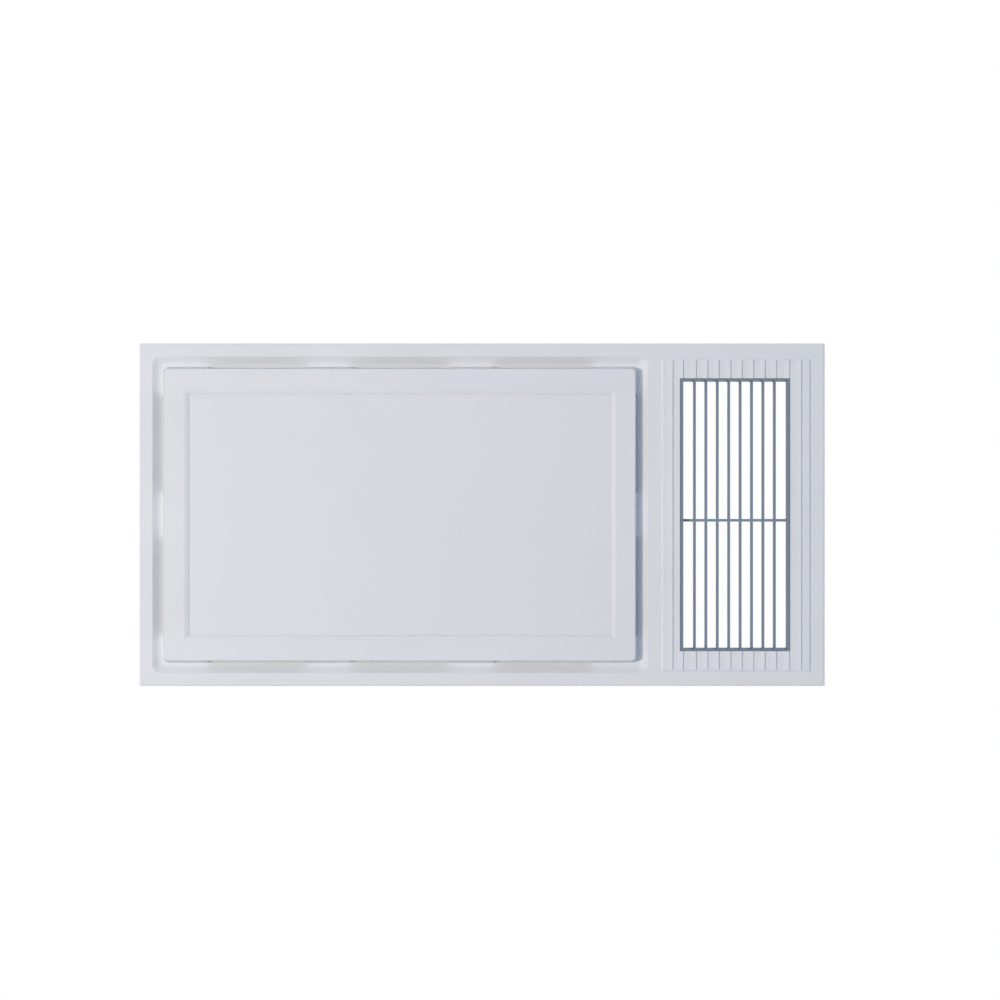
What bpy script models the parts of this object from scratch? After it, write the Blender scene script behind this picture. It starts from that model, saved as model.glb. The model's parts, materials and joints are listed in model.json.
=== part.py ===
"""Ceiling heater for a 600 by 300 mm bay: a face with lamp and grille below, a fan heater above.

Metres, +Z up. The origin is the middle of the ceiling plane, where the rim of the face lies against
the ceiling: the room is below it and the casing above. +X runs from the lamp to the outlet.
"""

import math

import bmesh
import bpy
from mathutils import Matrix, Vector

# Clearances
FIT = 0.0003
OVERRUN = 0.002
SMOOTH_ANGLE = math.radians(28)

# Face
FACE_LENGTH = 0.600
FACE_WIDTH = 0.300
FACE_DEPTH = 0.012
FACE_SKIN = 0.0025
FACE_EDGE_RADIUS = 0.0012
EDGE_STEPS = 4
SEAL_RIB_THICKNESS = 0.0025
SEAL_RIB_SETBACK = 0.0015

# Ribbed field and outlet opening
FIELD_MARGIN_END = 0.0126
FIELD_MARGIN_SIDE = 0.0129
FIELD_RISE = 0.0012
FIELD_NEAR_RUN = 0.004
FIELD_BORDER_LEFT = 0.0160
FIELD_BORDER_RIGHT = 0.0176
FIELD_BORDER_SIDE = 0.0177
OUTLET_LENGTH = 0.0966
RIB_RISE_RUN = 0.0052
RIB_CREST = 0.0009
RIB_DROP_RUN = 0.0006
RIB_HEIGHT = 0.0004
RIB_STEPS = 8
RIB_END_RUN = 0.0012
RIB_NEAR_MARGIN = 0.0014
RIB_FAR_MARGIN = 0.0005
RIB_EDGE_INSET = 0.0018
RIB_LEFT_STEP = 0.0091
RIB_RIGHT_STEP = 0.0105
GROOVE_WIDTH = 0.00045
GROOVE_DEPTH = 0.0007

# Grille and its sleeve
BAR_COUNT = 8
BAR_WIDTH = 0.0023
BAR_END_SHARE = 1.32
CROSSBAR_OFFSET = 0.0049
GRILLE_DEPTH = 0.006
GRILLE_INSET = 0.0081
GRILLE_BORDER_END = 0.00306
GRILLE_BORDER_SIDE = 0.0026
RELIEF_WIDTH = 0.0015
RELIEF_DEPTH = 0.003
SLEEVE_WALL = 0.0008
SLEEVE_INSET = 0.0004
SLEEVE_LEDGE = 0.0006
SLEEVE_FLANGE = 0.003
SLEEVE_FLANGE_THICKNESS = 0.0012
COLLAR_HEIGHT = 0.003
GASKET_HEIGHT = 0.004

# Lamp recess
RECESS_MARGIN_END = 0.0113
RECESS_MARGIN_SIDE = 0.0114
RECESS_TO_FIELD = 0.0119
RECESS_DROP = 0.0044
RECESS_SLOPE = 0.0067
RECESS_COVE_SHARE = 0.4
RECESS_COVE_STEPS = 4
RECESS_CORNER = 0.007
RECESS_LEDGE = 0.006

# Lamp
LAMP_GAP_END = 0.0109
LAMP_GAP_SIDE = 0.0108
LAMP_STAND = 0.0109
LAMP_CORNER = 0.0038
LAMP_EDGE_RADIUS = 0.001
LAMP_DRAFT = 0.0018
LAMP_WALL = 0.0025
LAMP_SKIN = 0.0011
LAMP_BORDER_END = 0.0177
LAMP_BORDER_SIDE = 0.0184
WINDOW_SLOPE = 0.0038
SLOT_LENGTH = 0.0865
SLOT_PITCH = 0.125
SLOT_HEIGHT = 0.008
SLOTS_PER_SIDE = 3
SLOTS_PER_END = 2
DIFFUSER_THICKNESS = 0.0015
DIFFUSER_LAP = 0.0082
GUIDE_THICKNESS = 0.002
REFLECTOR_THICKNESS = 0.0005
STRIP_THICKNESS = 0.0016
TRAY_THICKNESS = 0.001
TRAY_EAR_REACH = 0.009
TRAY_EAR_WIDTH = 0.012
TRAY_EAR_SHARE = 0.55
BOSS_RADIUS = 0.003
SCREW_HEAD_RADIUS = 0.0025
SCREW_HEAD_HEIGHT = 0.0009
STUD_RADIUS = 0.003
STUD_HEIGHT = 0.0151
STUD_TIP = 0.0015
STUD_SPAN_SHARE = 0.78
STUD_INSET = 0.008
TAB_WIDTH = 0.018
TAB_REACH = 0.021
TAB_BOSS_RADIUS = 0.006
TAB_BOSS_HEIGHT = 0.0075
PLUG_SIZE = (0.022, 0.012, 0.007)
PLUG_SHARE = 0.5

# Face springs
SPRING_WIDTH = 0.014
SPRING_THICKNESS = 0.001
SPRING_REACH = 0.058
SPRING_TIP = 0.004
SPRING_SPAN_SHARE = 0.8
SPRING_SEAT_HEIGHT = 0.0065
SPRING_SEAT_MARGIN = 0.003

# Casing
SHEET = 0.0008
CASING_INSET_END = 0.013
CASING_INSET_SIDE = 0.021
CASING_LIFT = 0.003
FLANGE_END = 0.005
FLANGE_SIDE = 0.012
LUG_WIDTH = 0.026
LUG_CLEARANCE = 0.003
THROAT_RIM = 0.0055
THROAT_MARGIN = 0.001

# Outlet chute and damper
PARTITION_SETBACK = 0.0212
HINGE_OFFSET = 0.005
HINGE_HEADROOM = 0.0078
BLADE_THICKNESS = 0.001
BLADE_TIP_GAP = 0.0027
BLADE_END_GAP = 0.0028
BLADE_SIDE_GAP = 0.0018
SHAFT_RADIUS = 0.003
HEM_THICKNESS = 0.001
SEAL_THICKNESS = 0.0018
SEAL_WIDTH = 0.008
BUSH_RADIUS = 0.005
BUSH_FLANGE_RADIUS = 0.008
BUSH_FLANGE_THICKNESS = 0.0015
BUSH_INNER_REACH = 0.0005
DAMPER_MOTOR_RADIUS = 0.021
DAMPER_MOTOR_LENGTH = 0.0155
DAMPER_MOTOR_BORE = 0.011
DAMPER_MOTOR_EAR_REACH = 0.028
DAMPER_MOTOR_EAR_WIDTH = 0.012
STOP_LIP = 0.0045
STOP_GAP = 0.0006
MOUTH_MARGIN_END = 0.001
MOUTH_MARGIN_SIDE = 0.0008
MOUTH_SETBACK = 0.003
SPIGOT_HEIGHT = 0.020
COLLAR_FLANGE = 0.010
COLLAR_EDGE = 0.0004

# Hanger brackets
HANGER_SPAN_SHARE = 0.72
HANGER_WIDTH = 0.036
HANGER_HEIGHT = 0.050
HANGER_THICKNESS = 0.002
HANGER_REACH = 0.018
HANGER_HOLE_RADIUS = 0.0035
HANGER_TOP_SHARE = 0.72
HANGER_HOLE_SHARE = 0.6
RIVET_DROP_SHARE = 0.6667
RIVET_RADIUS = 0.0035
RIVET_HEIGHT = 0.0012

# Fan deck and blower
DECK_HEIGHT = 0.022
SCROLL_HEIGHT = 0.070
SCROLL_WALL = 0.0015
SCROLL_FLANGE = 0.0045
SCROLL_SIDE_GAP = 0.0043
SCROLL_GROWTH = 0.030
SCROLL_START = math.radians(-35)
SCROLL_END = math.radians(270)
SCROLL_STEPS = 26
DUCT_ROOM = 0.030
CHANNEL_SHARE = 0.2181
SCROLL_OUTLET_WIDTH = 0.100
CUTOFF_GAP = 0.007
CUTOFF_LAP = 0.030
WHEEL_SEGMENTS = 48
BLADES = 24
BLADE_CHORD = 0.015
BLADE_SHEET = 0.0014
BLADE_LEAN = math.radians(28)
BLADE_ROOT = 0.0005
WHEEL_FLOOR_GAP = 0.0065
WHEEL_ROOF_GAP = 0.006
WHEEL_PLATE = 0.002
WHEEL_RING_HEIGHT = 0.003
WHEEL_RING_WIDTH = 0.016
HUB_RADIUS = 0.015
HUB_HEIGHT = 0.024
MOTOR_SHAFT_RADIUS = 0.004
SHAFT_TAIL = 0.008
NUT_RADIUS = 0.0075
NUT_HEIGHT = 0.0055
INLET_GAP = 0.007
INLET_BELL = 0.009
INLET_LIP = 0.0035
INLET_WALL = 0.0015
INLET_FLANGE = 0.008
INLET_SEGMENTS = 36
BELL_STEPS = 4
MOTOR_RADIUS = 0.042
MOTOR_EDGE = 0.004
MOTOR_BOSS_RADIUS = 0.012
MOTOR_BOSS_HEIGHT = 0.003
MOTOR_HEADROOM = 0.0068
MOTOR_PLATE_REACH = 0.010
MOTOR_PLATE_THICKNESS = 0.0015
ROUND_SEGMENTS = 32
SMALL_SEGMENTS = 16

# Heater
HEATER_DEPTH = 0.0245
HEATER_NOSE = 0.0032
HEATER_NOSE_MARGIN = 0.005
HEATER_BAR = 0.009
HEATER_SIDE_GAP = 0.0108
HEATER_RISE = 0.0078
HEATER_OPENING = 0.060
ELEMENT_HEIGHT = 0.007
ELEMENT_DEPTH = 0.016
ELEMENTS = 2
FIN_PLATE = 0.0008
FIN_SHEET = 0.0008
FIN_WAVES = 22
TERMINAL_SIZE = (0.014, 0.030, 0.008)
TERMINAL_TAB = (0.0008, 0.0063, 0.007)
TERMINAL_TABS = 3
CUTOUT_RADIUS = 0.008
CUTOUT_HEIGHT = 0.006
CUTOUT_SHARE = -0.5

# Electrics, at the lamp's end of the casing
BOX_LENGTH = 0.085
BOX_WIDTH = 0.156
BOX_HEIGHT = 0.055
BOX_WALL = 0.002
BOX_TO_SCROLL = 0.005
WALL_GAP = 0.002
COVER_THICKNESS = 0.0015
COVER_LIP = 0.003
BOARD_THICKNESS = 0.0016
BOARD_MARGIN = 0.006
BOARD_LIFT = 0.005
PILLAR_RADIUS = 0.003
RELAY_SIZE = (0.018, 0.028, 0.020)
RELAY_SHARES = (0.66, 0.74)
TERMINAL_BLOCK_SIZE = (0.014, 0.062, 0.016)
TERMINAL_WAYS = 6
TERMINAL_SHARES = (0.36, 0.36)
CAPACITOR_RADIUS = 0.014
CAPACITOR_HEIGHT = 0.036
CAPACITOR_SHARES = (0.68, 0.32)
DRIVER_LENGTH = 0.060
DRIVER_HEIGHT = 0.030
DRIVER_WALL_GAP = 0.0134
DRIVER_EAR = 0.010
DRIVER_EAR_THICKNESS = 0.003
DRIVER_GAP = 0.010
GLAND_RADIUS = 0.010
GLAND_FLANGE_RADIUS = 0.0135
GLAND_NOSE = 0.009
GLAND_FLANGE = 0.002
GLAND_TAIL = 0.008
GLAND_BORE = 0.0045
GLAND_NUT_RADIUS = 0.0135
GLAND_NUT_HEIGHT = 0.004
GLAND_HEIGHT_SHARE = 0.62

# Looks: colour, roughness, metallic
WHITE_ABS = ((0.74, 0.76, 0.81), 0.42, 0.0)
OPAL = ((0.80, 0.81, 0.85), 0.35, 0.0)
CLEAR = ((0.86, 0.89, 0.90), 0.08, 0.0)
BLUE_GREY = ((0.24, 0.29, 0.36), 0.45, 0.0)
SLATE = ((0.07, 0.09, 0.12), 0.5, 0.0)
GALVANISED = ((0.55, 0.57, 0.59), 0.38, 0.9)
SPRING_STEEL = ((0.42, 0.43, 0.45), 0.30, 1.0)
ALUMINIUM = ((0.78, 0.79, 0.80), 0.34, 1.0)
BLACK_NYLON = ((0.03, 0.03, 0.035), 0.55, 0.0)
GREY_NYLON = ((0.30, 0.31, 0.33), 0.5, 0.0)
DARK_FOAM = ((0.05, 0.05, 0.055), 0.95, 0.0)
GREEN_BOARD = ((0.02, 0.16, 0.08), 0.4, 0.0)
BRASS = ((0.72, 0.52, 0.24), 0.3, 1.0)
CERAMIC = ((0.80, 0.76, 0.68), 0.6, 0.0)

# Places that several pieces share
FACE_FRONT = -FACE_DEPTH
FACE_BACK = FACE_FRONT + FACE_SKIN
FIELD_FRONT = FACE_FRONT - FIELD_RISE
FIELD_RIGHT = FACE_LENGTH / 2 - FIELD_MARGIN_END
OUTLET_RIGHT = FIELD_RIGHT - FIELD_BORDER_RIGHT
OUTLET_LEFT = OUTLET_RIGHT - OUTLET_LENGTH
OUTLET_X = (OUTLET_LEFT + OUTLET_RIGHT) / 2
FIELD_LEFT = OUTLET_LEFT - FIELD_BORDER_LEFT
FIELD_SIDE = FACE_WIDTH / 2 - FIELD_MARGIN_SIDE
OUTLET_SIDE = FIELD_SIDE - FIELD_BORDER_SIDE
BAR_PITCH = OUTLET_LENGTH / (BAR_COUNT - 1 + 2 * BAR_END_SHARE)

RECESS_LEFT = RECESS_MARGIN_END - FACE_LENGTH / 2
RECESS_RIGHT = FIELD_LEFT - RECESS_TO_FIELD
RECESS_SIDE = FACE_WIDTH / 2 - RECESS_MARGIN_SIDE
RECESS_FLOOR = FACE_FRONT + RECESS_DROP
RECESS_BACK = RECESS_FLOOR + FACE_SKIN

LAMP_X = (RECESS_LEFT + RECESS_RIGHT) / 2
LAMP_HALF_LENGTH = (RECESS_RIGHT - RECESS_LEFT) / 2 - LAMP_GAP_END
LAMP_HALF_WIDTH = RECESS_SIDE - LAMP_GAP_SIDE
LAMP_FRONT = RECESS_FLOOR - LAMP_STAND
LAMP_BACK = RECESS_FLOOR - FIT
WINDOW_HALF_LENGTH = LAMP_HALF_LENGTH - LAMP_BORDER_END
WINDOW_HALF_WIDTH = LAMP_HALF_WIDTH - LAMP_BORDER_SIDE
DIFFUSER_HALF_LENGTH = WINDOW_HALF_LENGTH - WINDOW_SLOPE + DIFFUSER_LAP
DIFFUSER_HALF_WIDTH = WINDOW_HALF_WIDTH - WINDOW_SLOPE + DIFFUSER_LAP
DIFFUSER_FRONT = LAMP_FRONT + LAMP_SKIN + FIT
GUIDE_FRONT = DIFFUSER_FRONT + DIFFUSER_THICKNESS + FIT
REFLECTOR_FRONT = GUIDE_FRONT + GUIDE_THICKNESS + FIT
TRAY_FLOOR = REFLECTOR_FRONT + REFLECTOR_THICKNESS + FIT
TRAY_BACK = TRAY_FLOOR + TRAY_THICKNESS
TRAY_INNER_LENGTH = DIFFUSER_HALF_LENGTH - TRAY_THICKNESS
TRAY_INNER_WIDTH = DIFFUSER_HALF_WIDTH - TRAY_THICKNESS
GUIDE_HALF_LENGTH = TRAY_INNER_LENGTH - FIT
GUIDE_HALF_WIDTH = TRAY_INNER_WIDTH - STRIP_THICKNESS - 2 * FIT
HATCH_HALF_LENGTH = LAMP_HALF_LENGTH - LAMP_WALL - RECESS_LEDGE
HATCH_HALF_WIDTH = LAMP_HALF_WIDTH - LAMP_WALL - RECESS_LEDGE
STUD_X = STUD_SPAN_SHARE * DIFFUSER_HALF_LENGTH
STUD_Y = DIFFUSER_HALF_WIDTH - STUD_INSET
EAR_Y = TRAY_EAR_SHARE * DIFFUSER_HALF_WIDTH
EAR_X = DIFFUSER_HALF_LENGTH + TRAY_EAR_REACH / 2

CASING_END = FACE_LENGTH / 2 - CASING_INSET_END
CASING_SIDE = FACE_WIDTH / 2 - CASING_INSET_SIDE
INNER_END = CASING_END - SHEET
INNER_SIDE = CASING_SIDE - SHEET
CASING_BOTTOM = CASING_LIFT
FLANGE_TOP = CASING_BOTTOM + SHEET
SPRING_Y = (CASING_SIDE + FLANGE_SIDE + FACE_WIDTH / 2 - FACE_SKIN) / 2
SPRING_X = SPRING_SPAN_SHARE * FACE_LENGTH / 2
LUG_SIDE = FACE_WIDTH / 2 - LUG_CLEARANCE
SEAL_RIB_END = CASING_END + FLANGE_END - SEAL_RIB_SETBACK
SEAL_RIB_SIDE = CASING_SIDE + FLANGE_SIDE - SEAL_RIB_SETBACK

SLEEVE_END = OUTLET_LENGTH / 2 - FIT
SLEEVE_SIDE = OUTLET_SIDE - FIT
GRILLE_FRONT = FIELD_FRONT + GRILLE_INSET
SLEEVE_FLANGE_FLOOR = COLLAR_HEIGHT + FIT
SLEEVE_TOP = SLEEVE_FLANGE_FLOOR + SLEEVE_FLANGE_THICKNESS
GASKET_FLOOR = SLEEVE_TOP + FIT
THROAT_FLOOR = GASKET_FLOOR + GASKET_HEIGHT + FIT
THROAT_TOP = THROAT_FLOOR + SHEET

PARTITION_RIGHT = OUTLET_LEFT - PARTITION_SETBACK
PARTITION_LEFT = PARTITION_RIGHT - SHEET
HINGE_X = PARTITION_RIGHT + HINGE_OFFSET
BLADE_REACH = INNER_END - BLADE_END_GAP - HINGE_X
HINGE_Z = THROAT_TOP + BLADE_TIP_GAP + BLADE_REACH
ROOF_FLOOR = HINGE_Z + HINGE_HEADROOM
ROOF_TOP = ROOF_FLOOR + SHEET
BLADE_SIDE = INNER_SIDE - BLADE_SIDE_GAP - BUSH_INNER_REACH
MOUTH_LEFT = HINGE_X + MOUTH_SETBACK
MOUTH_RIGHT = INNER_END - MOUTH_MARGIN_END
MOUTH_SIDE = INNER_SIDE - MOUTH_MARGIN_SIDE

DECK_TOP = DECK_HEIGHT + SHEET
BLOWER_FLOOR = DECK_TOP + FIT
BLOWER_TOP = BLOWER_FLOOR + SCROLL_HEIGHT
HEATER_RIGHT = PARTITION_LEFT - FIT
HEATER_LEFT = HEATER_RIGHT - HEATER_DEPTH
BOX_LEFT = FIT - INNER_END
BOX_RIGHT = BOX_LEFT + BOX_LENGTH
BOX_NEAR = WALL_GAP - INNER_SIDE
BOX_FAR = BOX_NEAR + BOX_WIDTH
SCROLL_SWEEP = SCROLL_END - SCROLL_START
LEFT_GROWTH = SCROLL_GROWTH * (math.pi - SCROLL_START) / SCROLL_SWEEP
RIGHT_GROWTH = SCROLL_GROWTH * -SCROLL_START / SCROLL_SWEEP
SCROLL_ROOM_WIDE = INNER_SIDE - SCROLL_SIDE_GAP - SCROLL_WALL - SCROLL_GROWTH
SCROLL_ROOM_LONG = (
    HEATER_LEFT - BOX_RIGHT - BOX_TO_SCROLL - 2 * SCROLL_FLANGE - LEFT_GROWTH - RIGHT_GROWTH - DUCT_ROOM
) / 2
SCROLL_INNER_RADIUS = min(SCROLL_ROOM_WIDE, SCROLL_ROOM_LONG)
SCROLL_RADIUS = SCROLL_INNER_RADIUS + SCROLL_GROWTH
WHEEL_RADIUS = SCROLL_INNER_RADIUS - CUTOFF_GAP
WHEEL_EYE = WHEEL_RADIUS - BLADE_CHORD
THROAT_RADIUS = WHEEL_EYE - INLET_GAP
WHEEL_FLOOR = BLOWER_FLOOR + WHEEL_FLOOR_GAP
WHEEL_TOP = BLOWER_TOP - SCROLL_WALL - WHEEL_ROOF_GAP
BLOWER_X = BOX_RIGHT + BOX_TO_SCROLL + SCROLL_FLANGE + SCROLL_INNER_RADIUS + LEFT_GROWTH
SCROLL_RIGHT = BLOWER_X + SCROLL_INNER_RADIUS + RIGHT_GROWTH + SCROLL_FLANGE
SCROLL_OUT = SCROLL_RIGHT + CHANNEL_SHARE * (HEATER_LEFT - SCROLL_RIGHT)
MOTOR_PLATE_FLOOR = BLOWER_TOP + FIT
MOTOR_FLOOR = MOTOR_PLATE_FLOOR + MOTOR_PLATE_THICKNESS + FIT
MOTOR_TOP = ROOF_FLOOR - MOTOR_HEADROOM - MOTOR_BOSS_HEIGHT

HEATER_SIDE = INNER_SIDE - HEATER_SIDE_GAP
HEATER_FLOOR = DECK_TOP + HEATER_RISE
HEATER_TOP = HEATER_FLOOR + HEATER_OPENING + 2 * HEATER_BAR
HEATER_OPEN_SIDE = HEATER_SIDE - HEATER_BAR
NOSE_SIDE = HEATER_OPEN_SIDE + HEATER_NOSE_MARGIN
NOSE_FLOOR = HEATER_FLOOR + HEATER_BAR - HEATER_NOSE_MARGIN
NOSE_TOP = HEATER_TOP - HEATER_BAR + HEATER_NOSE_MARGIN

GLAND_Y = (BOX_NEAR + BOX_FAR) / 2
GLAND_Z = BLOWER_FLOOR + GLAND_HEIGHT_SHARE * BOX_HEIGHT


def clear_scene():
    """Take every object out of the file."""
    for thing in list(bpy.data.objects):
        bpy.data.objects.remove(thing, do_unlink=True)


def along(axis, u, v, height):
    """A point whose outline lies across the axis, at a height along it."""
    if axis == "X":
        return (height, u, v)
    if axis == "Y":
        return (u, height, v)
    return (u, v, height)


def rectangle(low, high):
    """Corners of a rectangle."""
    return [(low[0], low[1]), (high[0], low[1]), (high[0], high[1]), (low[0], high[1])]


def centred(x, half_length, half_width, inset=0.0):
    """Corners of a rectangle about a point of the X axis."""
    length = half_length - inset
    width = half_width - inset
    return rectangle((x - length, -width), (x + length, width))


def arc(centre, radius, start, end, steps):
    """Points from one angle to another, both ends included."""
    turns = [start + (end - start) * step / steps for step in range(steps + 1)]
    return [(centre[0] + radius * math.cos(t), centre[1] + radius * math.sin(t)) for t in turns]


def rounded(x, half_length, half_width, radius, steps=4):
    """A rectangle about a point of the X axis with its four corners rounded."""
    points = []
    for quarter, (side_x, side_y) in enumerate(((1, 1), (-1, 1), (-1, -1), (1, -1))):
        centre = (x + side_x * (half_length - radius), side_y * (half_width - radius))
        start = quarter * math.pi / 2
        points += arc(centre, radius, start, start + math.pi / 2, steps)
    return points


def rounded_edge(outline, radius, front):
    """Sections that lead from a front face round into the side of an outline."""
    turns = [math.pi / 2 * step / EDGE_STEPS for step in range(EDGE_STEPS + 1)]
    return [
        (outline(radius * (1 - math.sin(t))), front + radius * (1 - math.cos(t)))
        for t in turns
    ]


def circle(radius, segments, centre=(0.0, 0.0)):
    """Points of a circle."""
    return arc(centre, radius, 0.0, math.tau * (segments - 1) / segments, segments - 1)


def loft(sections, axis="Z", ring=False):
    """A closed skin through outlines of equal length, each given with its height along the axis."""
    points = [along(axis, u, v, height) for outline, height in sections for u, v in outline]
    count = len(sections[0][0])
    rows = len(sections)
    faces = []
    for row in range(rows if ring else rows - 1):
        lower = row * count
        upper = (row + 1) % rows * count
        for i in range(count):
            j = (i + 1) % count
            faces.append((lower + i, lower + j, upper + j, upper + i))
    if not ring:
        faces.append(tuple(range(count)))
        faces.append(tuple(range((rows - 1) * count, rows * count)))
    return points, faces


def prism(outline, start, end, axis="Z"):
    """An outline drawn straight along an axis."""
    return loft([(outline, start), (outline, end)], axis)


def block(low, high):
    """A box between two opposite corners."""
    return prism(rectangle(low[:2], high[:2]), low[2], high[2])


def tube(outer, inner, start, end, axis="Z"):
    """A straight wall between two outlines of equal length."""
    return loft([(outer, start), (outer, end), (inner, end), (inner, start)], axis, ring=True)


def turned(profile, segments, axis="Z", centre=(0.0, 0.0), bored=False):
    """A turned shape from (radius, height) pairs; a bored one has a profile that closes on itself."""
    sections = [(circle(radius, segments, centre), height) for radius, height in profile]
    return loft(sections, axis, ring=bored)


def pin(radius, start, end, segments=SMALL_SEGMENTS, axis="Z", centre=(0.0, 0.0)):
    """A plain round pin."""
    return turned([(radius, start), (radius, end)], segments, axis, centre)


def mesh_of(name, shapes):
    """A mesh holding the shapes, with every face turned outwards."""
    bm = bmesh.new()
    for points, faces in shapes:
        verts = [bm.verts.new(point) for point in points]
        made = [bm.faces.new([verts[i] for i in face]) for face in faces]
        bmesh.ops.recalc_face_normals(bm, faces=made)
    mesh = bpy.data.meshes.new(name)
    bm.to_mesh(mesh)
    bm.free()
    mesh.shade_smooth()
    mesh.set_sharp_from_angle(angle=SMOOTH_ANGLE)
    return mesh


def solid(name, look, *shapes):
    """A sub-part with its own material."""
    thing = bpy.data.objects.new(name, mesh_of(name, shapes))
    bpy.context.scene.collection.objects.link(thing)
    colour, roughness, metallic = look
    material = bpy.data.materials.new(name)
    material.use_nodes = True
    shader = material.node_tree.nodes["Principled BSDF"]
    shader.inputs["Base Color"].default_value = (*colour, 1.0)
    shader.inputs["Roughness"].default_value = roughness
    shader.inputs["Metallic"].default_value = metallic
    thing.data.materials.append(material)
    return thing


def combine(body, operation, shapes):
    """Join shapes to a sub-part, or cut them out of it."""
    name = f"{body.name}.{operation.lower()}.{len(body.modifiers)}"
    helper = bpy.data.objects.new(name, mesh_of(name, shapes))
    bpy.context.scene.collection.objects.link(helper)
    helper.hide_render = True
    helper.display_type = "WIRE"
    step = body.modifiers.new(name, "BOOLEAN")
    step.operation = operation
    step.solver = "EXACT"
    step.object = helper


def fuse(body, *shapes):
    """Join shapes to a sub-part."""
    combine(body, "UNION", shapes)


def cut(body, *shapes):
    """Cut shapes out of a sub-part."""
    combine(body, "DIFFERENCE", shapes)


def carry(name, point, pieces, parent=None):
    """An empty on a joint's axis that carries the pieces, with their origins moved onto the axis."""
    carrier = bpy.data.objects.new(name, None)
    bpy.context.scene.collection.objects.link(carrier)
    carrier.location = point
    if parent:
        carrier.parent = parent
        carrier.location = Vector(point) - parent.location
    for piece in pieces:
        piece.data.transform(Matrix.Translation(-Vector(point)))
        piece.parent = carrier
    return carrier


def four_ways(x, y):
    """The four places at plus and minus x and y."""
    return [(side_x * x, side_y * y) for side_x in (-1, 1) for side_y in (-1, 1)]


def bar_places():
    """Centre of each grille bar along X."""
    middle = (BAR_COUNT - 1) / 2
    return [OUTLET_X + (index - middle) * BAR_PITCH for index in range(BAR_COUNT)]


def rib_places():
    """Ribs carry on the lines of the bars and of the outlet's edges, with one more outside each."""
    edge = OUTLET_LENGTH / 2 - RIB_EDGE_INSET
    offsets = (-edge - RIB_LEFT_STEP, -edge, edge, edge + RIB_RIGHT_STEP)
    return bar_places() + [OUTLET_X + offset for offset in offsets]


def rib_outline(x, height):
    """Section of a rib: a long soft rise towards +X, then a short drop."""
    start = x + RIB_CREST - RIB_RISE_RUN
    foot = FIELD_FRONT + FACE_SKIN / 2
    rise = [
        (start + RIB_RISE_RUN * step / RIB_STEPS,
         FIELD_FRONT - height * (1 - math.cos(math.pi * step / RIB_STEPS)) / 2)
        for step in range(RIB_STEPS + 1)
    ]
    end = x + RIB_CREST + RIB_DROP_RUN
    return [(start, foot)] + rise + [(end, FIELD_FRONT), (end, foot)]


def rib(x):
    """A low rib of the field, with its ends drawn in."""
    near = RIB_NEAR_MARGIN - FIELD_SIDE
    far = FIELD_SIDE - RIB_FAR_MARGIN
    full = rib_outline(x, RIB_HEIGHT)
    low = rib_outline(x, RIB_HEIGHT / RIB_STEPS)
    return loft([(low, near), (full, near + RIB_END_RUN), (full, far - RIB_END_RUN), (low, far)], "Y")


def rib_groove(x):
    """The fine groove along the foot of a rib's drop."""
    foot = x + RIB_CREST + RIB_DROP_RUN
    low = (foot - GROOVE_WIDTH / 2, RIB_NEAR_MARGIN + RIB_END_RUN - FIELD_SIDE, FIELD_FRONT - OVERRUN)
    high = (foot + GROOVE_WIDTH / 2, FIELD_SIDE - RIB_FAR_MARGIN - RIB_END_RUN, FIELD_FRONT + GROOVE_DEPTH)
    return block(low, high)


def field():
    """The raised field that the ribs stand on, with sloped edges; the near one is the gentlest."""
    front = rectangle((FIELD_LEFT + FIELD_RISE, FIELD_NEAR_RUN - FIELD_SIDE),
                      (FIELD_RIGHT - FIELD_RISE / 2, FIELD_SIDE - FIELD_RISE / 2))
    base = rectangle((FIELD_LEFT, -FIELD_SIDE), (FIELD_RIGHT, FIELD_SIDE))
    return loft([(front, FIELD_FRONT), (base, FACE_FRONT), (base, FACE_BACK - FACE_SKIN / 2)])


def recess_outline(inset):
    """The lamp recess, drawn in by an inset."""
    half = (RECESS_RIGHT - RECESS_LEFT) / 2
    return rounded(LAMP_X, half - inset, RECESS_SIDE - inset, RECESS_CORNER - inset / 2)


def spring_seat(x, y):
    """Block between the rim and the seal rib that grips the foot of a face spring."""
    half = SPRING_WIDTH / 2 + SPRING_SEAT_MARGIN
    rim = FACE_WIDTH / 2 - FACE_SKIN / 2
    seal = SEAL_RIB_SIDE - SEAL_RIB_THICKNESS / 2
    near, far = sorted((math.copysign(rim, y), math.copysign(seal, y)))
    low = (x - half, near, FACE_BACK - FACE_SKIN / 2)
    return block(low, (x + half, far, FACE_BACK + SPRING_SEAT_HEIGHT))


def spring_slot(x, y, start, end):
    """Slot that a face spring fits through."""
    half_width = SPRING_WIDTH / 2 + FIT
    half_gap = SPRING_THICKNESS / 2 + FIT
    return block((x - half_width, y - half_gap, start), (x + half_width, y + half_gap, end))


def stud_places():
    """Where the lamp's studs go into the face."""
    return [(LAMP_X + x, y) for x, y in four_ways(STUD_X, STUD_Y)]


def stud_tab(x, y):
    """Tongue that reaches from the recess floor over the lamp's tray."""
    root = math.copysign(HATCH_HALF_WIDTH + RECESS_LEDGE / 2, y)
    tip = math.copysign(HATCH_HALF_WIDTH - TAB_REACH, y)
    near, far = sorted((root, tip))
    half = TAB_WIDTH / 2
    return block((x - half, near, RECESS_FLOOR), (x + half, far, RECESS_BACK))


def face_rim():
    """Open tray with rounded front edges that the rest of the face is built on."""
    length = FACE_LENGTH / 2
    width = FACE_WIDTH / 2
    inner = centred(0.0, length, width, FACE_SKIN)
    front = rounded_edge(lambda inset: centred(0.0, length, width, inset), FACE_EDGE_RADIUS, FACE_FRONT)
    return loft(front + [(centred(0.0, length, width), 0.0), (inner, 0.0), (inner, FACE_BACK)])


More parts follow.
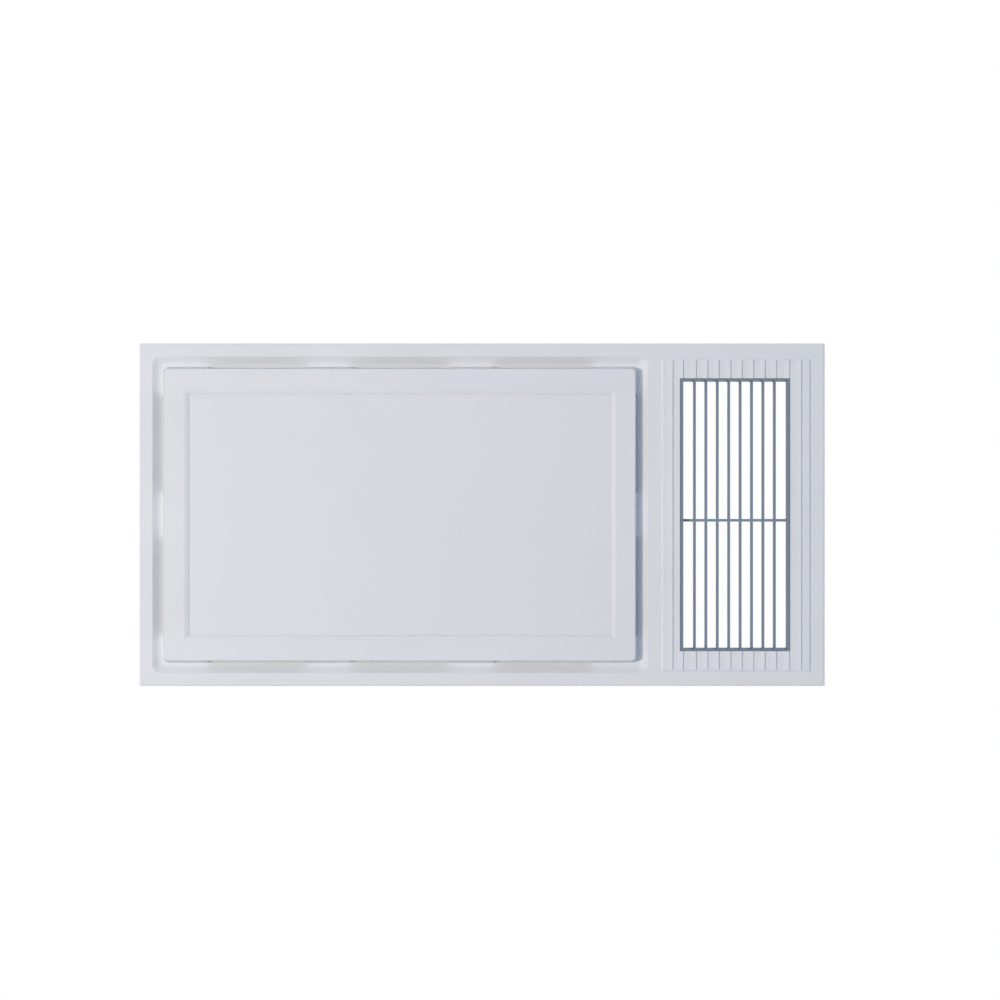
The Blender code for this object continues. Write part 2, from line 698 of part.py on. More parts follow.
def seal_rib(root):
    """Upstanding rib that runs round under the casing's flange."""
    outer = centred(0.0, SEAL_RIB_END, SEAL_RIB_SIDE)
    inner = centred(0.0, SEAL_RIB_END, SEAL_RIB_SIDE, SEAL_RIB_THICKNESS)
    return tube(outer, inner, root, CASING_BOTTOM - FIT)


def stud_boss(place):
    """Boss that guides one of the lamp's studs."""
    return pin(TAB_BOSS_RADIUS, RECESS_BACK - FACE_SKIN / 2, RECESS_BACK + TAB_BOSS_HEIGHT, centre=place)


def stud_hole(place):
    """Hole through a tab and its boss."""
    top = RECESS_BACK + TAB_BOSS_HEIGHT + OVERRUN
    return pin(STUD_RADIUS + FIT, RECESS_FLOOR - OVERRUN, top, centre=place)


def outlet_collar(root):
    """Wall behind the face that runs round the outlet."""
    outer = centred(OUTLET_X, OUTLET_LENGTH / 2 + FACE_SKIN, OUTLET_SIDE + FACE_SKIN)
    inner = centred(OUTLET_X, OUTLET_LENGTH / 2 - FACE_SKIN, OUTLET_SIDE - FACE_SKIN)
    return tube(outer, inner, root, COLLAR_HEIGHT)


def recess_cove():
    """Outlines down the recess's slope that bend smoothly into its floor."""
    outlines = []
    for step in range(RECESS_COVE_STEPS + 1):
        share = step / RECESS_COVE_STEPS
        on_slope = 1 - RECESS_COVE_SHARE * (1 - share) ** 2
        on_floor = RECESS_COVE_SHARE * share ** 2
        inset = RECESS_SLOPE * (on_slope + on_floor)
        outlines.append((recess_outline(inset), FACE_FRONT + RECESS_DROP * on_slope))
    return outlines


def face_panel():
    """The moulded face: rim, lamp recess, ribbed field and outlet collar."""
    root = FACE_BACK - FACE_SKIN / 2
    panel = solid("face_panel", WHITE_ABS, face_rim())
    fuse(panel, prism(recess_outline(-FACE_SKIN), root, RECESS_BACK))
    fuse(panel, seal_rib(root))
    fuse(panel, field())
    fuse(panel, *[rib(x) for x in rib_places()])
    cut(panel, *[rib_groove(x) for x in rib_places()])
    fuse(panel, outlet_collar(root))
    fuse(panel, *[spring_seat(x, y) for x, y in four_ways(SPRING_X, SPRING_Y)])
    cut(panel, loft([(recess_outline(-RECESS_SLOPE), FACE_FRONT - RECESS_DROP)] + recess_cove()))
    cut(panel, prism(centred(LAMP_X, HATCH_HALF_LENGTH, HATCH_HALF_WIDTH),
                     RECESS_FLOOR - OVERRUN, RECESS_BACK + OVERRUN))
    fuse(panel, *[stud_tab(x, y) for x, y in stud_places()])
    fuse(panel, *[stud_boss(place) for place in stud_places()])
    cut(panel, *[stud_hole(place) for place in stud_places()])
    cut(panel, prism(centred(OUTLET_X, OUTLET_LENGTH / 2, OUTLET_SIDE),
                     FIELD_FRONT - RIB_HEIGHT - OVERRUN, COLLAR_HEIGHT + OVERRUN))
    seat_top = FACE_BACK + SPRING_SEAT_HEIGHT + OVERRUN
    cut(panel, *[spring_slot(x, y, FACE_BACK, seat_top) for x, y in four_ways(SPRING_X, SPRING_Y)])
    return panel


def face_spring(index, x, y):
    """Flat steel spring that slides up through a slot in the casing's flange."""
    half = SPRING_WIDTH / 2
    foot = FACE_BACK + FIT
    outline = [
        (x - half, foot),
        (x + half, foot),
        (x + half, SPRING_REACH - SPRING_TIP),
        (x + half - SPRING_TIP, SPRING_REACH),
        (x - half + SPRING_TIP, SPRING_REACH),
        (x - half, SPRING_REACH - SPRING_TIP),
    ]
    gap = SPRING_THICKNESS / 2
    return solid(f"face_spring_{index}", SPRING_STEEL, prism(outline, y - gap, y + gap, "Y"))


def grille_sleeve():
    """Thin sleeve that lines the outlet; its flange hangs on the collar and its ledge holds the grille."""
    outer = centred(OUTLET_X, SLEEVE_END, SLEEVE_SIDE)
    inner = centred(OUTLET_X, SLEEVE_END, SLEEVE_SIDE, SLEEVE_WALL)
    lip = centred(OUTLET_X, SLEEVE_END, SLEEVE_SIDE, SLEEVE_WALL + SLEEVE_LEDGE)
    flange = centred(OUTLET_X, SLEEVE_END, SLEEVE_SIDE, -SLEEVE_FLANGE)
    ledge_top = GRILLE_FRONT - FIT
    return solid("grille_sleeve", SLATE, loft([
        (outer, FIELD_FRONT + SLEEVE_INSET),
        (outer, SLEEVE_FLANGE_FLOOR),
        (flange, SLEEVE_FLANGE_FLOOR),
        (flange, SLEEVE_TOP),
        (inner, SLEEVE_TOP),
        (inner, ledge_top),
        (lip, ledge_top),
        (lip, ledge_top - SLEEVE_WALL),
        (inner, ledge_top - SLEEVE_WALL),
        (inner, FIELD_FRONT + SLEEVE_INSET),
    ], ring=True))


def grille_slots():
    """Left and right side of each slot along X."""
    edges = [OUTLET_LEFT + GRILLE_BORDER_END]
    for x in bar_places():
        edges += [x - BAR_WIDTH / 2, x + BAR_WIDTH / 2]
    edges.append(OUTLET_RIGHT - GRILLE_BORDER_END)
    return list(zip(edges[::2], edges[1::2]))


def outlet_grille():
    """Border, bars and crossbar in one piece, with a relief at the foot of each bar."""
    half_length = SLEEVE_END - SLEEVE_WALL - FIT
    half_width = SLEEVE_SIDE - SLEEVE_WALL - FIT
    top = GRILLE_FRONT + GRILLE_DEPTH
    low = GRILLE_FRONT - OVERRUN
    grille = solid("outlet_grille", BLUE_GREY, prism(
        centred(OUTLET_X, half_length, half_width), GRILLE_FRONT, top))
    side = OUTLET_SIDE - GRILLE_BORDER_SIDE
    half_bar = BAR_WIDTH / 2
    rows = ((-side, CROSSBAR_OFFSET - half_bar), (CROSSBAR_OFFSET + half_bar, side))
    cut(grille, *[
        block((left, near, low), (right, far, top + OVERRUN))
        for left, right in grille_slots()
        for near, far in rows
    ])
    reach = half_width + OVERRUN
    for near, far in ((-reach, OVERRUN - side), (side - OVERRUN, reach)):
        cut(grille, *[
            block((right - RELIEF_WIDTH, near, low), (right, far, GRILLE_FRONT + RELIEF_DEPTH))
            for left, right in grille_slots()
        ])
    return grille


def outlet_gasket():
    """Foam frame that seals the face against the throat plate."""
    return solid("outlet_gasket", DARK_FOAM, tube(
        centred(OUTLET_X, SLEEVE_END, SLEEVE_SIDE, -SLEEVE_FLANGE),
        centred(OUTLET_X, SLEEVE_END, SLEEVE_SIDE, SLEEVE_WALL / 2),
        GASKET_FLOOR, GASKET_FLOOR + GASKET_HEIGHT))


def slot_blocks():
    """Air slots in the lamp's sides and ends."""
    low = LAMP_BACK - SLOT_HEIGHT
    high = LAMP_BACK + OVERRUN
    half = SLOT_LENGTH / 2
    wall = LAMP_WALL + OVERRUN
    reach = LAMP_DRAFT + OVERRUN
    shapes = []
    for index in range(SLOTS_PER_SIDE):
        x = LAMP_X + (index - (SLOTS_PER_SIDE - 1) / 2) * SLOT_PITCH
        for side in (-1, 1):
            near, far = sorted((side * (LAMP_HALF_WIDTH - wall), side * (LAMP_HALF_WIDTH + reach)))
            shapes.append(block((x - half, near, low), (x + half, far, high)))
    for index in range(SLOTS_PER_END):
        y = (index - (SLOTS_PER_END - 1) / 2) * SLOT_PITCH
        for side in (-1, 1):
            near, far = sorted((side * (LAMP_HALF_LENGTH - wall), side * (LAMP_HALF_LENGTH + reach)))
            shapes.append(block((LAMP_X + near, y - half, low), (LAMP_X + far, y + half, high)))
    return shapes


def ear_places():
    """Where the tray's ears are screwed to the lamp's bosses."""
    return [(LAMP_X + x, y) for x, y in four_ways(EAR_X, EAR_Y)]


def lamp_outline(inset=0.0):
    """Outline of the lamp, drawn in by an inset."""
    length = LAMP_HALF_LENGTH - inset
    return rounded(LAMP_X, length, LAMP_HALF_WIDTH - inset, LAMP_CORNER - inset / 2)


def lamp_bezel():
    """Border of the lamp with its window and bosses, on a skirt that widens towards the recess."""
    bezel = solid("lamp_bezel", WHITE_ABS, loft(rounded_edge(lamp_outline, LAMP_EDGE_RADIUS, LAMP_FRONT) + [
        (lamp_outline(-LAMP_DRAFT), LAMP_BACK),
        (lamp_outline(LAMP_WALL - LAMP_DRAFT), LAMP_BACK),
        (lamp_outline(LAMP_WALL), LAMP_FRONT + LAMP_SKIN),
    ]))
    window = (WINDOW_HALF_LENGTH, WINDOW_HALF_WIDTH)
    cut(bezel, loft([
        (centred(LAMP_X, *window, -WINDOW_SLOPE), LAMP_FRONT - LAMP_SKIN),
        (centred(LAMP_X, *window, WINDOW_SLOPE), LAMP_FRONT + LAMP_SKIN),
        (centred(LAMP_X, *window, WINDOW_SLOPE), LAMP_FRONT + LAMP_SKIN + OVERRUN),
    ]))
    cut(bezel, *slot_blocks())
    fuse(bezel, *[pin(BOSS_RADIUS, LAMP_FRONT + LAMP_SKIN / 2, TRAY_FLOOR - FIT, centre=place)
                  for place in ear_places()])
    return bezel


def lamp_sheet(name, look, half_length, half_width, front, thickness):
    """One flat sheet of the lamp's stack."""
    outline = centred(LAMP_X, half_length, half_width)
    return solid(name, look, prism(outline, front, front + thickness))


def led_strip(index, side):
    """Strip of LEDs along one long edge of the light guide."""
    inner = GUIDE_HALF_WIDTH + FIT
    near, far = sorted((side * inner, side * (inner + STRIP_THICKNESS)))
    low = (LAMP_X - GUIDE_HALF_LENGTH, near, GUIDE_FRONT)
    high = (LAMP_X + GUIDE_HALF_LENGTH, far, REFLECTOR_FRONT - FIT)
    return solid(f"led_strip_{index}", OPAL, block(low, high))


def lamp_tray():
    """Metal tray that closes the lamp, with four ears and four studs."""
    outer = centred(LAMP_X, DIFFUSER_HALF_LENGTH, DIFFUSER_HALF_WIDTH)
    inner = centred(LAMP_X, TRAY_INNER_LENGTH, TRAY_INNER_WIDTH)
    tray = solid("lamp_tray", ALUMINIUM, loft([
        (inner, TRAY_FLOOR),
        (inner, GUIDE_FRONT),
        (outer, GUIDE_FRONT),
        (outer, TRAY_BACK),
    ]))
    half = TRAY_EAR_WIDTH / 2
    fuse(tray, *[
        block((LAMP_X - reach, y - half, TRAY_FLOOR), (LAMP_X + reach, y + half, TRAY_BACK))
        for reach in (DIFFUSER_HALF_LENGTH + TRAY_EAR_REACH,)
        for y in (-EAR_Y, EAR_Y)
    ])
    fuse(tray, *[pin(SCREW_HEAD_RADIUS, TRAY_BACK - TRAY_THICKNESS / 2,
                     TRAY_BACK + SCREW_HEAD_HEIGHT, centre=place) for place in ear_places()])
    top = TRAY_BACK + STUD_HEIGHT
    profile = [
        (STUD_RADIUS, TRAY_BACK - TRAY_THICKNESS / 2),
        (STUD_RADIUS, top - STUD_TIP),
        (STUD_RADIUS - STUD_TIP, top),
    ]
    fuse(tray, *[turned(profile, SMALL_SEGMENTS, centre=place) for place in stud_places()])
    return tray


def lamp_plug():
    """Plug on the back of the tray."""
    length, width, height = PLUG_SIZE
    floor = TRAY_BACK + FIT
    y = PLUG_SHARE * DIFFUSER_HALF_WIDTH
    low = (LAMP_X - length / 2, y - width / 2, floor)
    return solid("lamp_plug", BLACK_NYLON, block(low, (LAMP_X + length / 2, y + width / 2, floor + height)))


def lamp_pieces():
    """Every piece that comes away with the lamp."""
    strip_length = DIFFUSER_HALF_LENGTH, DIFFUSER_HALF_WIDTH
    guide = GUIDE_HALF_LENGTH, GUIDE_HALF_WIDTH
    return [
        lamp_bezel(),
        lamp_sheet("lamp_diffuser", OPAL, *strip_length, DIFFUSER_FRONT, DIFFUSER_THICKNESS),
        lamp_sheet("light_guide", CLEAR, *guide, GUIDE_FRONT, GUIDE_THICKNESS),
        lamp_sheet("reflector", OPAL, *guide, REFLECTOR_FRONT, REFLECTOR_THICKNESS),
        led_strip(1, -1),
        led_strip(2, 1),
        lamp_tray(),
        lamp_plug(),
    ]


def casing():
    """Sheet-metal casing, open below, with a flange and slotted lugs for the face springs."""
    outer = centred(0.0, CASING_END, CASING_SIDE)
    inner = centred(0.0, INNER_END, INNER_SIDE)
    brim = centred(0.0, CASING_END + FLANGE_END, CASING_SIDE + FLANGE_SIDE)
    shell = solid("housing_shell", GALVANISED, loft([
        (inner, ROOF_FLOOR),
        (inner, CASING_BOTTOM),
        (brim, CASING_BOTTOM),
        (brim, FLANGE_TOP),
        (outer, FLANGE_TOP),
        (outer, ROOF_TOP),
    ]))
    half = LUG_WIDTH / 2
    fuse(shell, *[
        block((x - half, -LUG_SIDE, CASING_BOTTOM), (x + half, -CASING_SIDE - SHEET, FLANGE_TOP))
        for x in (-SPRING_X, SPRING_X)
    ], *[
        block((x - half, CASING_SIDE + SHEET, CASING_BOTTOM), (x + half, LUG_SIDE, FLANGE_TOP))
        for x in (-SPRING_X, SPRING_X)
    ])
    cut(shell, *[spring_slot(x, y, CASING_BOTTOM - OVERRUN, FLANGE_TOP + OVERRUN)
                 for x, y in four_ways(SPRING_X, SPRING_Y)])
    cut(shell, block((MOUTH_LEFT, -MOUTH_SIDE, ROOF_FLOOR - OVERRUN),
                     (MOUTH_RIGHT, MOUTH_SIDE, ROOF_TOP + OVERRUN)))
    cut(shell, pin(BUSH_RADIUS + FIT, -CASING_SIDE - OVERRUN, CASING_SIDE + OVERRUN,
                   SMALL_SEGMENTS, "Y", (HINGE_X, HINGE_Z)))
    cut(shell, pin(GLAND_RADIUS + FIT, -CASING_END - OVERRUN, OVERRUN - INNER_END,
                   SMALL_SEGMENTS, "X", (GLAND_Y, GLAND_Z)))
    return shell


def extract_collar():
    """Spigot on the roof of the chute for the extract duct."""
    low = (MOUTH_LEFT, -MOUTH_SIDE)
    high = (MOUTH_RIGHT, MOUTH_SIDE)
    floor = ROOF_TOP + FIT
    wall_low = (low[0] - SHEET, low[1] - SHEET)
    wall_high = (high[0] + SHEET, high[1] + SHEET)
    side = wall_high[1] + COLLAR_EDGE
    flange = rectangle((wall_low[0] - COLLAR_FLANGE, -side), (wall_high[0] + COLLAR_EDGE, side))
    wall = rectangle(wall_low, wall_high)
    mouth = rectangle(low, high)
    return solid("extract_collar", GALVANISED, loft([
        (flange, floor),
        (flange, floor + SHEET),
        (wall, floor + SHEET),
        (wall, floor + SPIGOT_HEIGHT),
        (mouth, floor + SPIGOT_HEIGHT),
        (mouth, floor),
    ], ring=True))


def throat_plate():
    """Pan that closes the foot of the chute around the outlet."""
    left = PARTITION_LEFT - SHEET
    right = INNER_END - FIT
    side = INNER_SIDE - FIT
    outer = rectangle((left, -side), (right, side))
    rim = rectangle((left + SHEET, SHEET - side), (right - SHEET, side - SHEET))
    hole_end = SLEEVE_END + THROAT_MARGIN
    hole = centred(OUTLET_X, hole_end, SLEEVE_SIDE + THROAT_MARGIN)
    return solid("throat_plate", GALVANISED, loft([
        (outer, THROAT_FLOOR - THROAT_RIM),
        (outer, THROAT_TOP),
        (hole, THROAT_TOP),
        (hole, THROAT_FLOOR),
        (rim, THROAT_FLOOR),
        (rim, THROAT_FLOOR - THROAT_RIM),
    ], ring=True))


def partition_plate():
    """Wall between blower and chute, with the window for the heater's nose."""
    side = INNER_SIDE - FIT
    outer = rectangle((-side, THROAT_TOP + FIT), (side, ROOF_FLOOR - FIT))
    window = rectangle((-NOSE_SIDE - FIT, NOSE_FLOOR - FIT), (NOSE_SIDE + FIT, NOSE_TOP + FIT))
    return solid("partition_plate", GALVANISED, tube(outer, window, PARTITION_LEFT, PARTITION_RIGHT, "X"))


def hanger_bracket(index, x, side):
    """Bracket on the casing's side with a drilled ear for a hanging rod."""
    wall = CASING_SIDE + FIT
    top = HANGER_TOP_SHARE * ROOF_TOP
    half = HANGER_WIDTH / 2
    ear = wall + HANGER_REACH
    outline = [
        (side * wall, top),
        (side * wall, top - HANGER_HEIGHT),
        (side * (wall + HANGER_THICKNESS), top - HANGER_HEIGHT),
        (side * (wall + HANGER_THICKNESS), top - HANGER_THICKNESS),
        (side * ear, top - HANGER_THICKNESS),
        (side * ear, top),
    ]
    bracket = solid(f"hanger_bracket_{index}", GALVANISED, prism(outline, x - half, x + half, "X"))
    root = side * (wall + HANGER_THICKNESS / 2)
    tip = side * (wall + HANGER_THICKNESS + RIVET_HEIGHT)
    fuse(bracket, *[
        pin(RIVET_RADIUS, root, tip, SMALL_SEGMENTS, "Y", (x + offset, top - RIVET_DROP_SHARE * HANGER_HEIGHT))
        for offset in (-half / 2, half / 2)
    ])
    cut(bracket, pin(HANGER_HOLE_RADIUS, top - HANGER_THICKNESS - OVERRUN, top + OVERRUN,
                     centre=(x, side * (wall + HANGER_HOLE_SHARE * HANGER_REACH))))
    return bracket


def fan_deck():
    """Plate that carries blower and electrics above the intake space."""
    side = INNER_SIDE - FIT
    deck = solid("fan_deck", GALVANISED, block(
        (FIT - INNER_END, -side, DECK_HEIGHT), (PARTITION_LEFT - FIT, side, DECK_TOP)))
    radius = THROAT_RADIUS + INLET_BELL + INLET_WALL
    cut(deck, pin(radius, DECK_HEIGHT - OVERRUN, DECK_TOP + OVERRUN, INLET_SEGMENTS,
                  centre=(BLOWER_X, 0.0)))
    return deck


def inlet_ring():
    """Bell mouth that leads the air into the wheel's eye."""
    centre = (THROAT_RADIUS + INLET_BELL, BLOWER_FLOOR + INLET_BELL)
    bell = arc(centre, INLET_BELL, -math.pi / 2, -math.pi, BELL_STEPS)
    back = arc(centre, INLET_BELL - INLET_WALL, -math.pi, -math.pi / 2, BELL_STEPS)
    top = WHEEL_FLOOR + WHEEL_RING_HEIGHT + INLET_LIP
    brim = centre[0] + INLET_WALL + INLET_FLANGE
    profile = bell + [
        (THROAT_RADIUS, top),
        (THROAT_RADIUS + INLET_WALL, top),
    ] + back + [
        (brim, BLOWER_FLOOR + INLET_WALL),
        (brim, BLOWER_FLOOR),
    ]
    return solid("inlet_ring", GALVANISED, turned(
        profile, INLET_SEGMENTS, centre=(BLOWER_X, 0.0), bored=True))


def on_scroll(angle, radius):
    """A point about the wheel's axis."""
    return (BLOWER_X + radius * math.cos(angle), radius * math.sin(angle))


def spiral(margin):
    """The spiral part of the scroll seen from above, grown by a margin."""
    shares = [step / SCROLL_STEPS for step in range(SCROLL_STEPS + 1)]
    return [
        on_scroll(SCROLL_START + share * SCROLL_SWEEP, SCROLL_INNER_RADIUS + SCROLL_GROWTH * share + margin)
        for share in shares
    ]


def channel(margin, end):
    """The scroll's outlet channel seen from above, from inside the spiral to its end."""
    cutoff = Vector(on_scroll(SCROLL_START, SCROLL_INNER_RADIUS))
    corner = Vector((SCROLL_OUT, SCROLL_OUTLET_WIDTH - SCROLL_RADIUS))
    run = (corner - cutoff).normalized()
    out = Vector((-run.y, run.x)) * margin
    start = cutoff - run * CUTOFF_LAP + out
    stop = corner + out
    stop += run * (end - stop.x) / run.x
    near = -SCROLL_RADIUS - margin
    return [(BLOWER_X, near), (end, near), stop.to_tuple(), start.to_tuple()]


def blower_scroll():
    """Spiral casing of the blower, open below onto the deck and at its outlet."""
    flange_top = BLOWER_FLOOR + SCROLL_WALL
    scroll = solid("blower_scroll", GREY_NYLON, prism(spiral(SCROLL_WALL), BLOWER_FLOOR, BLOWER_TOP))
    fuse(scroll, prism(channel(SCROLL_WALL, SCROLL_OUT), BLOWER_FLOOR, BLOWER_TOP))
    fuse(scroll, prism(spiral(SCROLL_FLANGE), BLOWER_FLOOR, flange_top))
    fuse(scroll, prism(channel(SCROLL_FLANGE, SCROLL_OUT), BLOWER_FLOOR, flange_top))
    low = BLOWER_FLOOR - OVERRUN
    high = BLOWER_TOP - SCROLL_WALL
    cut(scroll, prism(spiral(0.0), low, high))
    cut(scroll, prism(channel(0.0, SCROLL_OUT + OVERRUN), low, high))
    cut(scroll, pin(HUB_RADIUS, high - OVERRUN, BLOWER_TOP + OVERRUN,
                    ROUND_SEGMENTS, centre=(BLOWER_X, 0.0)))
    return scroll


def wheel_blade(index):
    """One leaning blade of the wheel."""
    turn = Matrix.Rotation(math.tau * index / BLADES, 2)
    lean = Matrix.Rotation(BLADE_LEAN, 2)
    half_chord = BLADE_CHORD / 2 - BLADE_ROOT
    half_sheet = BLADE_SHEET / 2
    middle = Vector((WHEEL_EYE + BLADE_CHORD / 2, 0.0))
    outline = []
    for u, v in rectangle((-half_chord, -half_sheet), (half_chord, half_sheet)):
        spot = turn @ (middle + lean @ Vector((u, v)))
        outline.append((BLOWER_X + spot.x, spot.y))
    low = WHEEL_FLOOR + WHEEL_RING_HEIGHT / 2
    return prism(outline, low, WHEEL_TOP - WHEEL_PLATE / 2)


def wheel():
    """Blower wheel: back plate with hub, blades and end ring."""
    bore = MOTOR_SHAFT_RADIUS + FIT
    hub_floor = WHEEL_TOP - HUB_HEIGHT
    rotor = solid("impeller", BLACK_NYLON, turned([
        (bore, hub_floor),
        (bore, WHEEL_TOP),
        (WHEEL_RADIUS, WHEEL_TOP),
        (WHEEL_RADIUS, WHEEL_TOP - WHEEL_PLATE),
        (HUB_RADIUS, WHEEL_TOP - WHEEL_PLATE),
        (HUB_RADIUS, hub_floor),
    ], WHEEL_SEGMENTS, centre=(BLOWER_X, 0.0), bored=True))
    fuse(rotor, *[wheel_blade(index) for index in range(BLADES)])
    outer = circle(WHEEL_RADIUS, WHEEL_SEGMENTS, (BLOWER_X, 0.0))
    inner = circle(WHEEL_RADIUS - WHEEL_RING_WIDTH, WHEEL_SEGMENTS, (BLOWER_X, 0.0))
    fuse(rotor, tube(outer, inner, WHEEL_FLOOR, WHEEL_FLOOR + WHEEL_RING_HEIGHT))
    return rotor


def wheel_pieces():
    """The wheel, its shaft and its nut."""
    hub_floor = WHEEL_TOP - HUB_HEIGHT
    tail = hub_floor - SHAFT_TAIL
    nut_top = hub_floor - FIT
    place = (BLOWER_X, 0.0)
    shaft = solid("motor_shaft", SPRING_STEEL, pin(
        MOTOR_SHAFT_RADIUS, tail, MOTOR_TOP, SMALL_SEGMENTS, centre=place))
    outer = circle(NUT_RADIUS, 6, place)
    inner = circle(MOTOR_SHAFT_RADIUS + FIT, 6, place)
    nut = solid("impeller_nut", BRASS, prism(outer, nut_top - NUT_HEIGHT, nut_top))
    cut(nut, pin(MOTOR_SHAFT_RADIUS + FIT, nut_top - NUT_HEIGHT - OVERRUN, nut_top + OVERRUN,
                 SMALL_SEGMENTS, centre=place))
    return [wheel(), shaft, nut]


def motor_plate():
    """Round plate that hangs the motor on the scroll."""
    reach = MOTOR_RADIUS + MOTOR_PLATE_REACH
    top = MOTOR_PLATE_FLOOR + MOTOR_PLATE_THICKNESS
    return solid("motor_plate", GALVANISED, turned([
        (HUB_RADIUS, MOTOR_PLATE_FLOOR),
        (HUB_RADIUS, top),
        (reach, top),
        (reach, MOTOR_PLATE_FLOOR),
    ], ROUND_SEGMENTS, centre=(BLOWER_X, 0.0), bored=True))


def motor_can():
    """Flat motor above the scroll, bored for the wheel's shaft."""
    bore = MOTOR_SHAFT_RADIUS + FIT
    return solid("motor_can", ALUMINIUM, turned([
        (bore, MOTOR_FLOOR),
        (MOTOR_RADIUS, MOTOR_FLOOR),
        (MOTOR_RADIUS, MOTOR_TOP - MOTOR_EDGE),
        (MOTOR_RADIUS - MOTOR_EDGE, MOTOR_TOP),
        (MOTOR_BOSS_RADIUS, MOTOR_TOP),
        (MOTOR_BOSS_RADIUS, MOTOR_TOP + MOTOR_BOSS_HEIGHT),
        (bore, MOTOR_TOP + MOTOR_BOSS_HEIGHT),
    ], ROUND_SEGMENTS, centre=(BLOWER_X, 0.0), bored=True))


def transition_duct():
    """Duct that widens from the scroll's outlet to the heater."""
    start = SCROLL_OUT + FIT
    end = HEATER_LEFT - FIT
    near = -SCROLL_RADIUS
    far = SCROLL_OUTLET_WIDTH - SCROLL_RADIUS
    wide_floor = HEATER_FLOOR + HEATER_BAR
    wide_top = HEATER_TOP - HEATER_BAR
    sections = []
    for wall in (SCROLL_WALL, 0.0):
        narrow = rectangle((near - wall, BLOWER_FLOOR + SCROLL_WALL - wall),
                           (far + wall, BLOWER_TOP - SCROLL_WALL + wall))
        wide = rectangle((-HEATER_OPEN_SIDE - wall, wide_floor - wall),
                         (HEATER_OPEN_SIDE + wall, wide_top + wall))
        sections.append([(narrow, start), (wide, end)])
    outer, inner = sections
    return solid("transition_duct", GREY_NYLON, loft(outer + inner[::-1], "X", ring=True))


def heater_frame():
    """Frame of the heater, with a nose that fills the window in the partition."""
    outer = rectangle((-HEATER_SIDE, HEATER_FLOOR), (HEATER_SIDE, HEATER_TOP))
    nose = rectangle((-NOSE_SIDE, NOSE_FLOOR), (NOSE_SIDE, NOSE_TOP))
    inner = rectangle((-HEATER_OPEN_SIDE, HEATER_FLOOR + HEATER_BAR),
                      (HEATER_OPEN_SIDE, HEATER_TOP - HEATER_BAR))
    nose_end = HEATER_RIGHT + HEATER_NOSE
    return solid("heater_frame", BLACK_NYLON, loft([
        (outer, HEATER_LEFT),
        (outer, HEATER_RIGHT),
        (nose, HEATER_RIGHT),
        (nose, nose_end),
        (inner, nose_end),
        (inner, HEATER_LEFT),
    ], "X", ring=True))


def fin_row_height():
    """Height that each fin row has left between the elements."""
    gaps = 2 * (ELEMENTS + 1) * FIT
    return (HEATER_OPENING - ELEMENTS * ELEMENT_HEIGHT - gaps) / (ELEMENTS + 1)


def fin_row(index, floor):
    """A row of folded aluminium fin between two plates."""
    height = fin_row_height()
    side = HEATER_OPEN_SIDE - FIT
    middle = (HEATER_LEFT + HEATER_RIGHT) / 2
    start = middle - ELEMENT_DEPTH / 2
    end = middle + ELEMENT_DEPTH / 2
    low = floor + FIN_PLATE / 2
    high = floor + height - FIN_PLATE / 2
    pitch = side / FIN_WAVES
    fold = []
    for step in range(2 * FIN_WAVES + 1):
        fold.append((step * pitch - side, high if step % 2 else low))
    upper = [(y, z + FIN_SHEET / 2) for y, z in fold]
    lower = [(y, z - FIN_SHEET / 2) for y, z in reversed(fold)]
    row = solid(f"heater_fins_{index}", ALUMINIUM, prism(lower + upper, start, end, "X"))
    fuse(row,
         block((start, -side, floor), (end, side, floor + FIN_PLATE)),
         block((start, -side, floor + height - FIN_PLATE), (end, side, floor + height)))
    return row


def heater_element(index, floor):
    """Ceramic heating bar between two fin rows."""
    side = HEATER_OPEN_SIDE - FIT
    middle = (HEATER_LEFT + HEATER_RIGHT) / 2
    half = ELEMENT_DEPTH / 2
    return solid(f"heater_element_{index}", CERAMIC, block(
        (middle - half, -side, floor), (middle + half, side, floor + ELEMENT_HEIGHT)))


def heater_core():
    """Fin rows and elements stacked in the frame's opening."""
    floor = HEATER_FLOOR + HEATER_BAR + FIT
    step = fin_row_height() + FIT
    for index in range(1, ELEMENTS + 2):
        fin_row(index, floor)
        floor += step
        if index <= ELEMENTS:
            heater_element(index, floor)
            floor += ELEMENT_HEIGHT + FIT


def heater_terminals():
    """Terminal block on top of the heater frame."""
    length, width, height = TERMINAL_SIZE
    x = (HEATER_LEFT + HEATER_RIGHT) / 2
    floor = HEATER_TOP + FIT
    y = HEATER_SIDE / 2
    terminals = solid("heater_terminals", GREY_NYLON, block(
        (x - length / 2, y - width / 2, floor), (x + length / 2, y + width / 2, floor + height)))
    tab_length, tab_width, tab_height = TERMINAL_TAB
    top = floor + height
    pitch = width / TERMINAL_TABS
    middle = (TERMINAL_TABS - 1) / 2
    fuse(terminals, *[
        block((x - tab_length / 2, place - tab_width / 2, floor + height / 2),
              (x + tab_length / 2, place + tab_width / 2, top + tab_height))
        for place in [y + (index - middle) * pitch for index in range(TERMINAL_TABS)]
    ])
    return terminals


def thermal_cutout():
    """Round cut-out that switches the heater off when it overheats."""
    x = (HEATER_LEFT + HEATER_RIGHT) / 2
    floor = HEATER_TOP + FIT
    brim = CUTOUT_RADIUS + CUTOUT_HEIGHT / 4
    return solid("thermal_cutout", BLACK_NYLON, turned([
        (brim, floor),
        (brim, floor + CUTOUT_HEIGHT / 4),
        (CUTOUT_RADIUS, floor + CUTOUT_HEIGHT / 4),
        (CUTOUT_RADIUS, floor + CUTOUT_HEIGHT),
    ], SMALL_SEGMENTS, centre=(x, CUTOUT_SHARE * HEATER_SIDE)))


